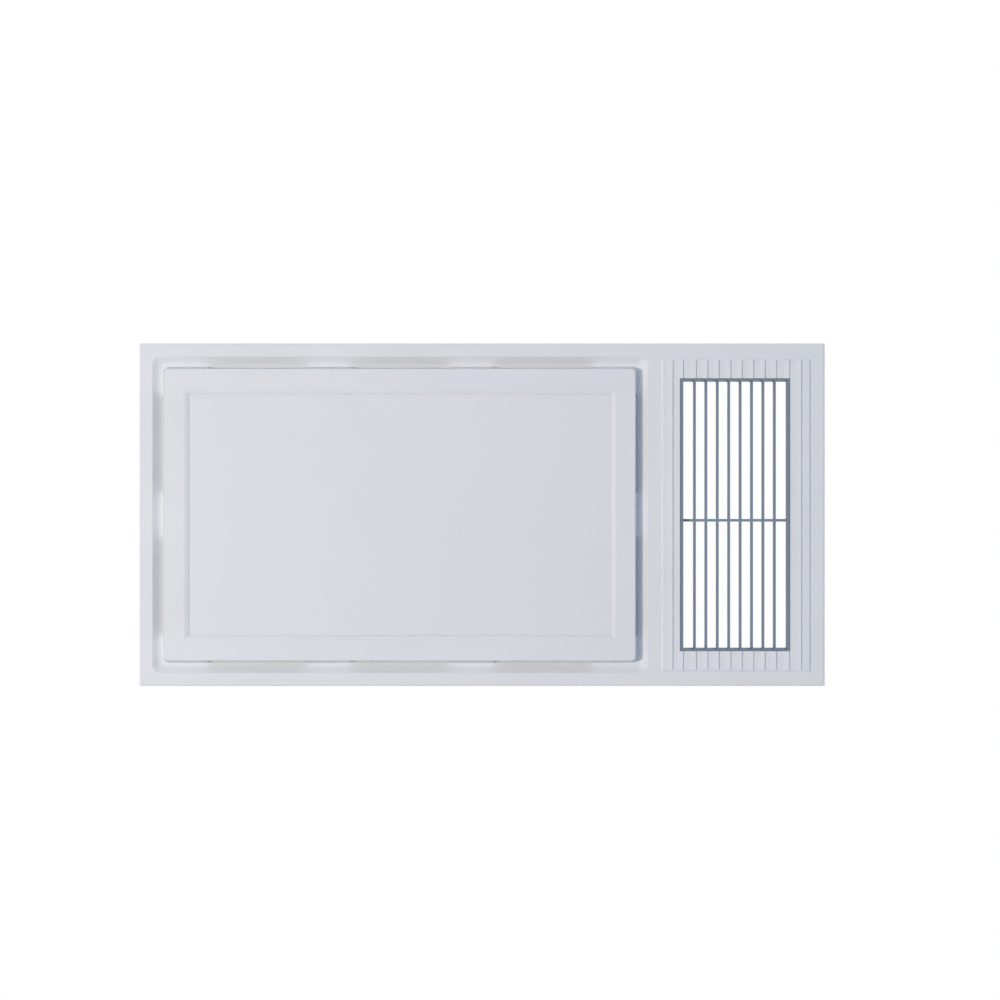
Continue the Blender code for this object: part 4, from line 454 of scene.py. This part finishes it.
def stand_on(place, axis):
    """The matrix that stands +Z along an axis at a place."""
    turn = Vector(axis).to_track_quat("Z", "Y").to_matrix().to_4x4()
    return Matrix.Translation(Vector(place)) @ turn


def angles(count, start=0.0):
    """Evenly spaced angles of one turn, from a share of a step on."""
    return [TURN * (step + start) / count for step in range(count)]


def on_circle(radius, angle, level=0.0):
    """A point round +Z at a level."""
    return Vector((radius * math.cos(angle), radius * math.sin(angle), level))


def eased(share):
    """Goes from 0 to 1 with a soft start and end."""
    return 0.5 - 0.5 * math.cos(math.pi * share)


def round_share(share):
    """Height of a round back at a share of its half width."""
    return math.sqrt(max(0.0, 1.0 - share * share))


def join_rings(mesh, pairs):
    """Closes the band between each pair of rings; points that are one give triangles."""
    for here, there in pairs:
        for step in range(len(here)):
            after = (step + 1) % len(here)
            corners = (here[step], here[after], there[after], there[step])
            corners = list(dict.fromkeys(corners))
            if len(corners) > 2:
                mesh.faces.new(corners)


SCREW_RINGS = 7
SCREW_SEGMENTS = 32
PAN_POWER = 4
CROSS_REACH = 0.62
CROSS_HALF = 0.13
CROSS_DEPTH = 0.55
FIRST_TURN = 0.4
NEXT_TURN = 0.7


def head_height(share, angle, recess):
    """Height share of a head at a share of its radius: a rivet, or a pan head with a cross."""
    if not recess:
        return round_share(share)
    pan = math.sqrt(max(0.0, 1.0 - share ** PAN_POWER))
    across = min(abs(share * math.cos(angle)), abs(share * math.sin(angle)))
    if share < CROSS_REACH and across < CROSS_HALF:
        return pan * (1.0 - CROSS_DEPTH)
    return pan


def add_head(mesh, place, axis, size, turn, recess):
    """A screw's pan head, or a rivet's round one, standing on a surface."""
    radius, height = size
    stand = stand_on(place, axis)
    rings = []
    for ring in range(1, SCREW_RINGS + 1):
        share = ring / SCREW_RINGS
        rings.append([
            mesh.verts.new(stand @ on_circle(
                share * radius, angle + turn, head_height(share, angle, recess) * height))
            for angle in angles(SCREW_SEGMENTS)
        ])
    level = head_height(0.0, 0.0, recess) * height
    middle = mesh.verts.new(stand @ Vector((0.0, 0.0, level)))
    for step in range(SCREW_SEGMENTS):
        after = (step + 1) % SCREW_SEGMENTS
        mesh.faces.new((middle, rings[0][step], rings[0][after]))
        for inner, outer in zip(rings, rings[1:]):
            mesh.faces.new((inner[step], outer[step], outer[after], inner[after]))


def heads(name, slot, spots, size, recess=True):
    """One piece of several heads at (place, axis) spots, each of one radius and height."""
    mesh = bmesh.new()
    for index, (place, axis) in enumerate(spots):
        add_head(mesh, place, axis, size, FIRST_TURN + NEXT_TURN * index, recess)
    piece(name, mesh, slot, "housing")


BEAD_STEPS = 40
BEAD_ACROSS = 10
BEAD_RAMP = 2.4
SAME_POINT_DIGITS = 7


def add_bead(mesh, start, end, axis, size):
    """A pressed stiffening bead: a low rounded ridge with round ends, standing on a wall."""
    half_width, height = size
    start, end, axis = Vector(start), Vector(end), Vector(axis).normalized()
    run = end - start
    length = run.length
    run.normalize()
    side = axis.cross(run)
    grid = []
    for step in range(BEAD_STEPS + 1):
        along = length * eased(step / BEAD_STEPS)
        to_end = min(along, length - along)
        reach = half_width * round_share(max(0.0, 1.0 - to_end / half_width))
        ease = eased(min(1.0, to_end / (BEAD_RAMP * half_width)))
        row = []
        for cross in range(BEAD_ACROSS + 1):
            offset = 2.0 * cross / BEAD_ACROSS - 1.0
            crown = 0.5 + 0.5 * math.cos(math.pi * offset)
            level = height * crown * ease
            spot = start + run * along + side * (reach * offset) + axis * level
            row.append(mesh.verts.new(spot))
        grid.append(row)
    for first, second in zip(grid, grid[1:]):
        for cross in range(BEAD_ACROSS):
            corners = (first[cross], second[cross], second[cross + 1], first[cross + 1])
            spots = {
                tuple(round(part, SAME_POINT_DIGITS) for part in corner.co) for corner in corners
            }
            if len(spots) == len(corners):
                mesh.faces.new(corners)


STRIP_EDGE = 0.00025


def add_strip(mesh, low, high):
    """A rectangular strip with its edges broken."""
    made = bmesh.ops.create_cube(mesh, size=1.0)["verts"]
    low, high = Vector(low), Vector(high)
    for vert in made:
        vert.co = Vector((low[i] + (vert.co[i] + 0.5) * (high[i] - low[i]) for i in range(3)))
    edges = list({edge for vert in made for edge in vert.link_edges})
    bmesh.ops.bevel(
        mesh, geom=edges, offset=STRIP_EDGE, segments=EDGE_SEGMENTS, affect="EDGES")


ROD_SEGMENTS = 12
RIB_SEGMENTS = 8


def add_rod(mesh, points, radius, segments=ROD_SEGMENTS, closed=True):
    """A round rod swept along points; closed ones join up at their ends."""
    points = [Vector(point) for point in points]
    count = len(points)
    rings = []
    side = None
    for index, point in enumerate(points):
        before = points[index - 1] if closed or index else point
        after = points[(index + 1) % count] if closed or index + 1 < count else point
        run = (after - before).normalized()
        if side is None:
            side = run.orthogonal().normalized()
        side = (side - run * side.dot(run)).normalized()
        up = run.cross(side)
        rings.append([
            mesh.verts.new(point + radius * (side * math.cos(angle) + up * math.sin(angle)))
            for angle in angles(segments)
        ])
    pairs = list(zip(rings, rings[1:]))
    if closed:
        last = rings[-1][0].co
        first = min(range(segments), key=lambda step: (rings[0][step].co - last).length)
        pairs.append((rings[-1], rings[0][first:] + rings[0][:first]))
    join_rings(mesh, pairs)
    if not closed:
        mesh.faces.new(rings[0][::-1])
        mesh.faces.new(rings[-1])


RIM_CORNER = 0.0015
RIM_STEPS = 6


def round_loop(low, high, level):
    """Points of a rectangle with round corners at one level."""
    points = []
    corners = (
        (high[0], high[1], 1, 1), (low[0], high[1], -1, 1),
        (low[0], low[1], -1, -1), (high[0], low[1], 1, -1),
    )
    for index, (x, y, right, far) in enumerate(corners):
        for step in range(RIM_STEPS + 1):
            angle = (index + step / RIM_STEPS) * math.pi / 2.0
            points.append((x - right * RIM_CORNER + RIM_CORNER * math.cos(angle),
                           y - far * RIM_CORNER + RIM_CORNER * math.sin(angle), level))
    return points


CIRCLE_POINTS = 48


def circle_loop(centre, axis, radius):
    """Points of a circle round an axis."""
    stand = stand_on(centre, axis)
    return [stand @ on_circle(radius, angle) for angle in angles(CIRCLE_POINTS)]


LATHE_SEGMENTS = 40
SMALL_LATHE_SEGMENTS = 20


def add_lathe(mesh, profile, centre, axis, segments=LATHE_SEGMENTS):
    """A turned cap: (radius, height) pairs from its foot to the axis."""
    stand = stand_on(centre, axis)
    rings = []
    for radius, height in profile:
        if radius == 0.0:
            rings.append([mesh.verts.new(stand @ Vector((0.0, 0.0, height)))] * segments)
            continue
        rings.append([
            mesh.verts.new(stand @ on_circle(radius, angle, height)) for angle in angles(segments)
        ])
    join_rings(mesh, zip(rings, rings[1:]))


# Casing. A size is (half width, height) of a bead, or (radius, height) of a screw's or
# rivet's head.

SHEET = 0.0008
WALL_X = 0.287
WALL_Y = 0.129
ROOF_BEAD_ENDS = (-0.245, 0.105)
ROOF_BEAD_ROWS = (-0.075, 0.0, 0.075)
ROOF_BEAD_SIZE = (0.006, 0.0018)
WALL_BEAD_SIZE = (0.005, 0.0016)
SIDE_BEAD_ENDS = (-0.15, 0.12)
SIDE_BEAD_LEVELS = (0.088, 0.040)
END_BEAD_LEVELS = (0.035, 0.120)
END_BEAD_ROWS = (-0.05, 0.05)
LAP_WIDTH = 0.014
LAP_INSET = 0.0005
LAP_FOOT = 0.006
LAP_ROOF_GAP = 0.002
RIVET_INSET = 0.007
RIVET_LEVELS = (0.022, 0.064, 0.106, 0.136)
RIVET_SIZE = (0.0024, 0.0011)
ROOF_SCREW_SIZE = (0.0034, 0.0019)
ROOF_SCREW_SIDE = 0.120
ROOF_SCREW_PLACES = (-0.27, -0.16, -0.05, 0.06, 0.135)
ROOF_SCREW_END = -0.277
ROOF_SCREW_ROWS = (-0.06, 0.0, 0.06)


def casing_beads(roof):
    """Pressed beads on the roof, the long walls and one end wall."""
    beads = bmesh.new()
    start, end = ROOF_BEAD_ENDS
    for y in ROOF_BEAD_ROWS:
        add_bead(beads, (start, y, roof), (end, y, roof), UP, ROOF_BEAD_SIZE)
    start, end = SIDE_BEAD_ENDS
    for side in SIDES:
        y = side * WALL_Y
        for level in SIDE_BEAD_LEVELS:
            add_bead(beads, (start, y, level), (end, y, level), (0, side, 0), WALL_BEAD_SIZE)
    start, end = END_BEAD_LEVELS
    for y in END_BEAD_ROWS:
        add_bead(beads, (WALL_X, y, start), (WALL_X, y, end), ALONG_X, WALL_BEAD_SIZE)
    piece("casing_beads", beads, "galvanised_steel", "housing")


def casing_corners(roof):
    """The laps at the casing's corners, and the rivets through them."""
    laps = bmesh.new()
    rivets = []
    for end in SIDES:
        for side in SIDES:
            x = sorted((end * WALL_X, end * (WALL_X + SHEET)))
            y = sorted((side * (WALL_Y - LAP_INSET), side * (WALL_Y - LAP_WIDTH)))
            add_strip(laps, (x[0], y[0], LAP_FOOT), (x[1], y[1], roof - LAP_ROOF_GAP))
            for level in RIVET_LEVELS:
                place = (end * (WALL_X + SHEET), side * (WALL_Y - RIVET_INSET), level)
                rivets.append((place, (end, 0, 0)))
    piece("casing_corner_laps", laps, "galvanised_steel", "housing")
    heads("casing_rivets", "tray_aluminium", rivets, RIVET_SIZE, recess=False)


def casing_details():
    """Beads, corner laps, rivets and screws on the sheet-metal casing."""
    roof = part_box("housing_shell")[1].z
    casing_beads(roof)
    casing_corners(roof)
    spots = [(x, side * ROOF_SCREW_SIDE) for side in SIDES for x in ROOF_SCREW_PLACES]
    spots += [(ROOF_SCREW_END, y) for y in ROOF_SCREW_ROWS]
    screws = [((x, y, roof), UP) for x, y in spots]
    heads("roof_screws", "spring_steel", screws, ROOF_SCREW_SIZE)


# Spigot on the roof
SPIGOT_FLANGE = 0.010
SPIGOT_EDGE = 0.0004
SPIGOT_RODS = ((0.0012, 0.0011), (0.0090, 0.0008))  # drop from the top, and radius
SPIGOT_SCREW_SIZE = (0.0030, 0.0016)
SPIGOT_SCREW_ROWS = (-0.105, -0.063, -0.021, 0.021, 0.063)


def spigot_details():
    """Rolled edge, bead and flange screws of the spigot on the roof."""
    low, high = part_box("extract_collar")
    rim = bmesh.new()
    corner_low = (low.x + SPIGOT_FLANGE, low.y + SPIGOT_EDGE)
    corner_high = (high.x - SPIGOT_EDGE, high.y - SPIGOT_EDGE)
    for drop, radius in SPIGOT_RODS:
        add_rod(rim, round_loop(corner_low, corner_high, high.z - drop), radius)
    piece("spigot_rim", rim, "galvanised_steel", "housing")
    x = low.x + SPIGOT_FLANGE / 2.0
    screws = [((x, y, low.z + SHEET), UP) for y in SPIGOT_SCREW_ROWS]
    heads("spigot_screws", "spring_steel", screws, SPIGOT_SCREW_SIZE)


# Damper motor. A profile is (radius, height) pairs from the foot to the axis.
MOTOR_SEAMS = ((0.0006, 0.0006, 0.0009), (0.0085, 0.0, 0.0006))  # behind, inside, rod radius
MOTOR_HUB = (
    (0.0082, -0.0002), (0.0080, 0.0007), (0.0074, 0.0011), (0.0040, 0.0012), (0.0036, 0.0006),
    (0.0, 0.0006),
)
MOTOR_RIVET = ((0.0019, -0.0002), (0.0018, 0.0004), (0.0012, 0.0007), (0.0, 0.0008))
MOTOR_RIVETS = 3
MOTOR_RIVET_TURN = 0.5
MOTOR_RIVET_CIRCLE = 0.0145
EAR_REACH = 0.0245
EAR_FRONT = 0.0033
EAR_DROP = 0.008
EAR_SCREW_SIZE = (0.0029, 0.0016)
TAB_OFFSETS = (-0.0045, 0.0045)
TAB_TIP_GAP = 0.0015
TAB_ROOT_LAP = 0.0010
TAB_FRONT = 0.0058
TAB_HALF_THICKNESS = 0.0004
TAB_HALF_WIDTH = 0.0024


def damper_motor_details():
    """Crimped seam, hub, rivets, ear screws and terminals of the damper's motor."""
    low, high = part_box("damper_motor")
    centre = Vector(((low.x + high.x) / 2.0, high.y, (low.z + high.z) / 2.0))
    radius = (high.z - low.z) / 2.0
    trim = bmesh.new()
    for behind, inside, rod in MOTOR_SEAMS:
        seat = centre - Vector((0.0, behind, 0.0))
        add_rod(trim, circle_loop(seat, ALONG_Y, radius - inside), rod)
    add_lathe(trim, MOTOR_HUB, centre, ALONG_Y)
    for angle in angles(MOTOR_RIVETS):
        reach = on_circle(MOTOR_RIVET_CIRCLE, MOTOR_RIVET_TURN + angle).xzy
        add_lathe(trim, MOTOR_RIVET, centre + reach, ALONG_Y, SMALL_LATHE_SEGMENTS)
    piece("damper_motor_trim", trim, "grey_nylon", "housing")
    ears = [
        ((centre.x + side * EAR_REACH, low.y + EAR_FRONT, centre.z - EAR_DROP), ALONG_Y)
        for side in SIDES
    ]
    heads("damper_motor_screws", "spring_steel", ears, EAR_SCREW_SIZE)
    tabs = bmesh.new()
    front = low.y + TAB_FRONT
    for offset in TAB_OFFSETS:
        level = centre.z + offset
        add_strip(
            tabs,
            (low.x + TAB_TIP_GAP, front - TAB_HALF_THICKNESS, level - TAB_HALF_WIDTH),
            (centre.x - radius + TAB_ROOT_LAP, front + TAB_HALF_THICKNESS, level + TAB_HALF_WIDTH))
    piece("damper_motor_tabs", tabs, "brass", "housing")


# Cable gland, which sits on the casing's end wall
GLAND_SEAT = -0.2873
GRIP_RIBS = 18
GRIP_SHARE = 0.985
GRIP_BACK = 0.0019
GRIP_LENGTH = 0.0018
GRIP_ROD = 0.0009
FINGERS = 12
FINGER_START = 0.5
FINGER_BACK = 0.0030
FINGER_FOOT_RADIUS = 0.0097
FINGER_TIP_RADIUS = 0.0080
FINGER_TIP_GAP = 0.0012
FINGER_BEND_SHARE = 0.9
FINGER_ROD = 0.0006
SEAL_INSET = 0.0004
SEAL_RADIUS = 0.0052
SEAL_ROD = 0.0007


def gland_details():
    """Grip ribs round the gland's flange, fingers along its cap and the ring in its mouth."""
    low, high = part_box("cable_gland")
    centre = Vector((low.x, (low.y + high.y) / 2.0, (low.z + high.z) / 2.0))
    radius = (high.y - low.y) / 2.0
    ribs = bmesh.new()
    for angle in angles(GRIP_RIBS):
        spot = on_circle(radius, angle).zxy
        start = Vector((GLAND_SEAT - GRIP_BACK, centre.y, centre.z)) + spot * GRIP_SHARE
        end = start + Vector((GRIP_LENGTH, 0.0, 0.0))
        add_rod(ribs, (start, end), GRIP_ROD, RIB_SEGMENTS, closed=False)
    for angle in angles(FINGERS, FINGER_START):
        spot = on_circle(1.0, angle).zxy
        start = Vector((GLAND_SEAT - FINGER_BACK, centre.y, centre.z)) + spot * FINGER_FOOT_RADIUS
        end = Vector((low.x + FINGER_TIP_GAP, centre.y, centre.z)) + spot * FINGER_TIP_RADIUS
        points = (start, start.lerp(end, FINGER_BEND_SHARE), end)
        add_rod(ribs, points, FINGER_ROD, RIB_SEGMENTS, closed=False)
    piece("gland_ribs", ribs, "black_nylon", "housing")
    seal = bmesh.new()
    mouth = centre + Vector((SEAL_INSET, 0.0, 0.0))
    add_rod(seal, circle_loop(mouth, ALONG_X, SEAL_RADIUS), SEAL_ROD)
    piece("gland_seal", seal, "foam_rubber", "housing")


# Gussets of the hanging brackets
HANGERS = 4
GUSSET_STEPS = 10
GUSSET_ACROSS = 6
GUSSET_HALF_WIDTH = 0.0013
GUSSET_REACH = 0.0075
GUSSET_SAG = 0.0006
GUSSET_ROUND_SHARE = 0.6
GUSSET_BACK_SHARE = 0.92
GUSSET_OFFSETS = (-0.0125, 0.0125)
BRACKET_SKIN = 0.0019  # from the bracket's outer faces to just inside its bend


def add_gusset(mesh, corner, out, down):
    """A pressed corner rib: a triangular web with a rounded back."""
    corner, out, down = Vector(corner), Vector(out), Vector(down)
    across = out.cross(down).normalized()
    offsets = [cross / (GUSSET_ACROSS / 2.0) - 1.0 for cross in range(GUSSET_ACROSS + 1)]
    rows = []
    for step in range(GUSSET_STEPS + 1):
        share = step / GUSSET_STEPS
        sag = GUSSET_SAG * math.sin(math.pi * share)
        back = (corner + out * (GUSSET_REACH * share - sag)
                + down * (GUSSET_REACH * (1.0 - share) - sag))
        row = []
        for offset in offsets:
            bulge = math.sqrt(max(0.0, 1.0 - GUSSET_BACK_SHARE * offset * offset))
            drop = GUSSET_HALF_WIDTH * GUSSET_ROUND_SHARE * (1.0 - bulge)
            spot = back + across * (GUSSET_HALF_WIDTH * offset) - (out + down).normalized() * drop
            row.append(mesh.verts.new(spot))
        rows.append(row)
    for first, second in zip(rows, rows[1:]):
        for cross in range(GUSSET_ACROSS):
            mesh.faces.new((first[cross], first[cross + 1], second[cross + 1], second[cross]))
    for cross in (0, GUSSET_ACROSS):
        tip = mesh.verts.new(corner + across * (GUSSET_HALF_WIDTH * offsets[cross]))
        for first, second in zip(rows, rows[1:]):
            edge = (first[cross], second[cross]) if cross == 0 else (second[cross], first[cross])
            mesh.faces.new((tip, *edge))


def hanger_details():
    """Pressed gussets in the bend of each hanging bracket."""
    gussets = bmesh.new()
    for index in range(1, HANGERS + 1):
        low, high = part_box(f"hanger_bracket_{index}")
        side = 1 if low.y > 0.0 else -1
        wall = low.y if side > 0 else high.y
        middle = (low.x + high.x) / 2.0
        for offset in GUSSET_OFFSETS:
            corner = (middle + offset, wall + side * BRACKET_SKIN, high.z - BRACKET_SKIN)
            add_gusset(gussets, corner, (0, side, 0), DOWN)
    bmesh.ops.recalc_face_normals(gussets, faces=gussets.faces)
    piece("hanger_gussets", gussets, "galvanised_steel", "housing")


# Slim frame round the front of the outlet's grille. The bars are as in the CAD model.
BAR_PITCH = 0.0100207
BAR_WIDTH = 0.0023
BAR_COUNT = 8
BORDER_END = 0.00166
BORDER_SIDE = 0.0012
SLEEVE_GAP = 0.0003
TRIM_FRONT = -0.0126
TRIM_BACK = -0.0112
TRIM_WEB = 0.0005
TRIM_EDGE = 0.0001
NOTCH_WIDTH = 0.0014
NOTCH_ROWS = (1, 3)
OPEN_ROW = 2
SHARP_ANGLE = 1.0
LEVEL_TOLERANCE = 1e-6


def thicken(mesh, depth):
    """Gives a flat sheet of faces a back and sides."""
    sheet = mesh.faces[:]
    rim = [edge for edge in mesh.edges if edge.is_boundary]
    shift = Vector((0.0, 0.0, depth))
    backs = {vert: mesh.verts.new(vert.co + shift) for vert in mesh.verts[:]}
    for face in sheet:
        mesh.faces.new([backs[vert] for vert in reversed(face.verts)])
    for edge in rim:
        first, second = edge.verts
        mesh.faces.new((first, second, backs[second], backs[first]))
    bmesh.ops.recalc_face_normals(mesh, faces=mesh.faces)


def trim_lines(low, high):
    """Where the trim's sheet is divided: columns, rows, bar feet and its opening's two ends."""
    left, right = low.x + BORDER_END, high.x - BORDER_END
    middle = (low.x + high.x) / 2.0
    feet = [
        middle + (index - (BAR_COUNT - 1) / 2.0) * BAR_PITCH - BAR_WIDTH / 2.0
        for index in range(BAR_COUNT)
    ]
    feet.append(right)
    notches = [foot - NOTCH_WIDTH for foot in feet]
    columns = sorted({low.x - SLEEVE_GAP, left, high.x + SLEEVE_GAP, *feet, *notches})
    near, far = low.y - SLEEVE_GAP, high.y + SLEEVE_GAP
    rows = (near, near + TRIM_WEB, low.y + BORDER_SIDE, high.y - BORDER_SIDE, far - TRIM_WEB, far)
    return columns, rows, feet, (left, right)


def grille_trim():
    """The trim, with a small notch beside the foot of each bar."""
    low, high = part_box("outlet_grille")
    columns, rows, feet, (left, right) = trim_lines(low, high)
    mesh = bmesh.new()
    corners = {}
    for start, end in zip(columns, columns[1:]):
        centre = (start + end) / 2.0
        notched = any(foot - NOTCH_WIDTH < centre < foot for foot in feet)
        between = left < centre < right
        for row, (near, far) in enumerate(zip(rows, rows[1:])):
            if (row == OPEN_ROW and between) or (row in NOTCH_ROWS and notched):
                continue
            spots = ((start, near), (end, near), (end, far), (start, far))
            for spot in spots:
                if spot not in corners:
                    corners[spot] = mesh.verts.new((*spot, TRIM_FRONT))
            mesh.faces.new([corners[spot] for spot in spots])
    thicken(mesh, TRIM_BACK - TRIM_FRONT)
    sharp = [
        edge for edge in mesh.edges if edge.calc_face_angle(0.0) > SHARP_ANGLE
        and all(abs(vert.co.z - TRIM_FRONT) < LEVEL_TOLERANCE for vert in edge.verts)
    ]
    bmesh.ops.bevel(
        mesh, geom=sharp, offset=TRIM_EDGE, segments=EDGE_SEGMENTS, affect="EDGES")
    piece("grille_trim", mesh, "blue_grey_abs", "face")


def build_pieces():
    grille_trim()
    casing_details()
    spigot_details()
    damper_motor_details()
    gland_details()
    hanger_details()


# Room, lamps and camera

def eye_rays(tree):
    """1 for the rays that the eye follows: straight, mirrored or through glass."""
    path = tree.nodes.new("ShaderNodeLightPath")
    seen = path.outputs["Is Camera Ray"]
    for kind in ("Is Glossy Ray", "Is Transmission Ray"):
        either = tree.nodes.new("ShaderNodeMath")
        either.operation = "MAXIMUM"
        tree.links.new(seen, either.inputs[0])
        tree.links.new(path.outputs[kind], either.inputs[1])
        seen = either.outputs[0]
    return seen


def add_floor():
    """A wide pale floor below the camera, which shows lighter to the rays of the eye."""
    mesh = bmesh.new()
    mesh.faces.new([
        mesh.verts.new((x * FLOOR_REACH, y * FLOOR_REACH, FLOOR_LEVEL)) for x, y in FLOOR_CORNERS
    ])
    data = bpy.data.meshes.new("floor")
    mesh.to_mesh(data)
    mesh.free()
    look = Surface("floor_paint", Roughness=FLOOR_ROUGHNESS)
    clouds = look.fit(look.noise(FLOOR_CLOUDS))
    look.colour(look.mix(clouds, tinted(FLOOR_COLOUR, FLOOR_DARK), FLOOR_COLOUR))
    glow = look.node("Emission", {"Strength": FLOOR_GLOW})
    share = look.calc("MULTIPLY", eye_rays(look.tree), FLOOR_GLOW_SHARE)
    blend = look.node("MixShader", {0: share, 1: look.shader.outputs[0], 2: glow.outputs[0]})
    look.put(look.tree.nodes["Material Output"].inputs["Surface"], blend.outputs[0])
    data.materials.append(look.material)
    floor = bpy.data.objects.new("floor", data)
    bpy.context.scene.collection.objects.link(floor)


def add_air():
    """White for rays that the eye follows, soft blue-grey light for the rest."""
    world = bpy.data.worlds.new("air")
    world.use_nodes = True
    tree = world.node_tree
    tree.nodes.clear()
    seen = eye_rays(tree)
    mixed = tree.nodes.new("ShaderNodeMixShader")
    tree.links.new(seen, mixed.inputs[0])
    for index, colour in enumerate((AIR_COLOUR, WHITE), start=1):
        sky = tree.nodes.new("ShaderNodeBackground")
        sky.inputs["Color"].default_value = (*colour, 1.0)
        sky.inputs["Strength"].default_value = 1.0
        tree.links.new(sky.outputs[0], mixed.inputs[index])
    output = tree.nodes.new("ShaderNodeOutputWorld")
    tree.links.new(mixed.outputs[0], output.inputs["Surface"])
    bpy.context.scene.world = world


def add_lamps():
    """Round soft lamps: two for the face, and four for the casing's roof and walls."""
    for name, place, target, width, watts, colour in LAMPS:
        data = bpy.data.lights.new(name, "AREA")
        data.shape = "DISK"
        data.size = width
        data.energy = watts
        data.color = colour
        lamp = bpy.data.objects.new(name, data)
        lamp.location = place
        aim = Vector(target) - Vector(place)
        lamp.rotation_euler = aim.to_track_quat("-Z", "Y").to_euler()
        lamp.visible_camera = False
        bpy.context.scene.collection.objects.link(lamp)


def add_camera():
    """The photograph's view: straight up at the face."""
    data = bpy.data.cameras.new("camera")
    data.lens = LENS
    data.sensor_width = SENSOR
    data.clip_end = CLIP_END
    camera = bpy.data.objects.new("camera", data)
    camera.location = CAMERA_PLACE
    camera.rotation_euler = CAMERA_TURN
    bpy.context.scene.collection.objects.link(camera)
    bpy.context.scene.camera = camera


dress_nodes()
build_pieces()
add_floor()
add_air()
add_lamps()
add_camera()
bpy.context.scene.view_settings.view_transform = "Standard"
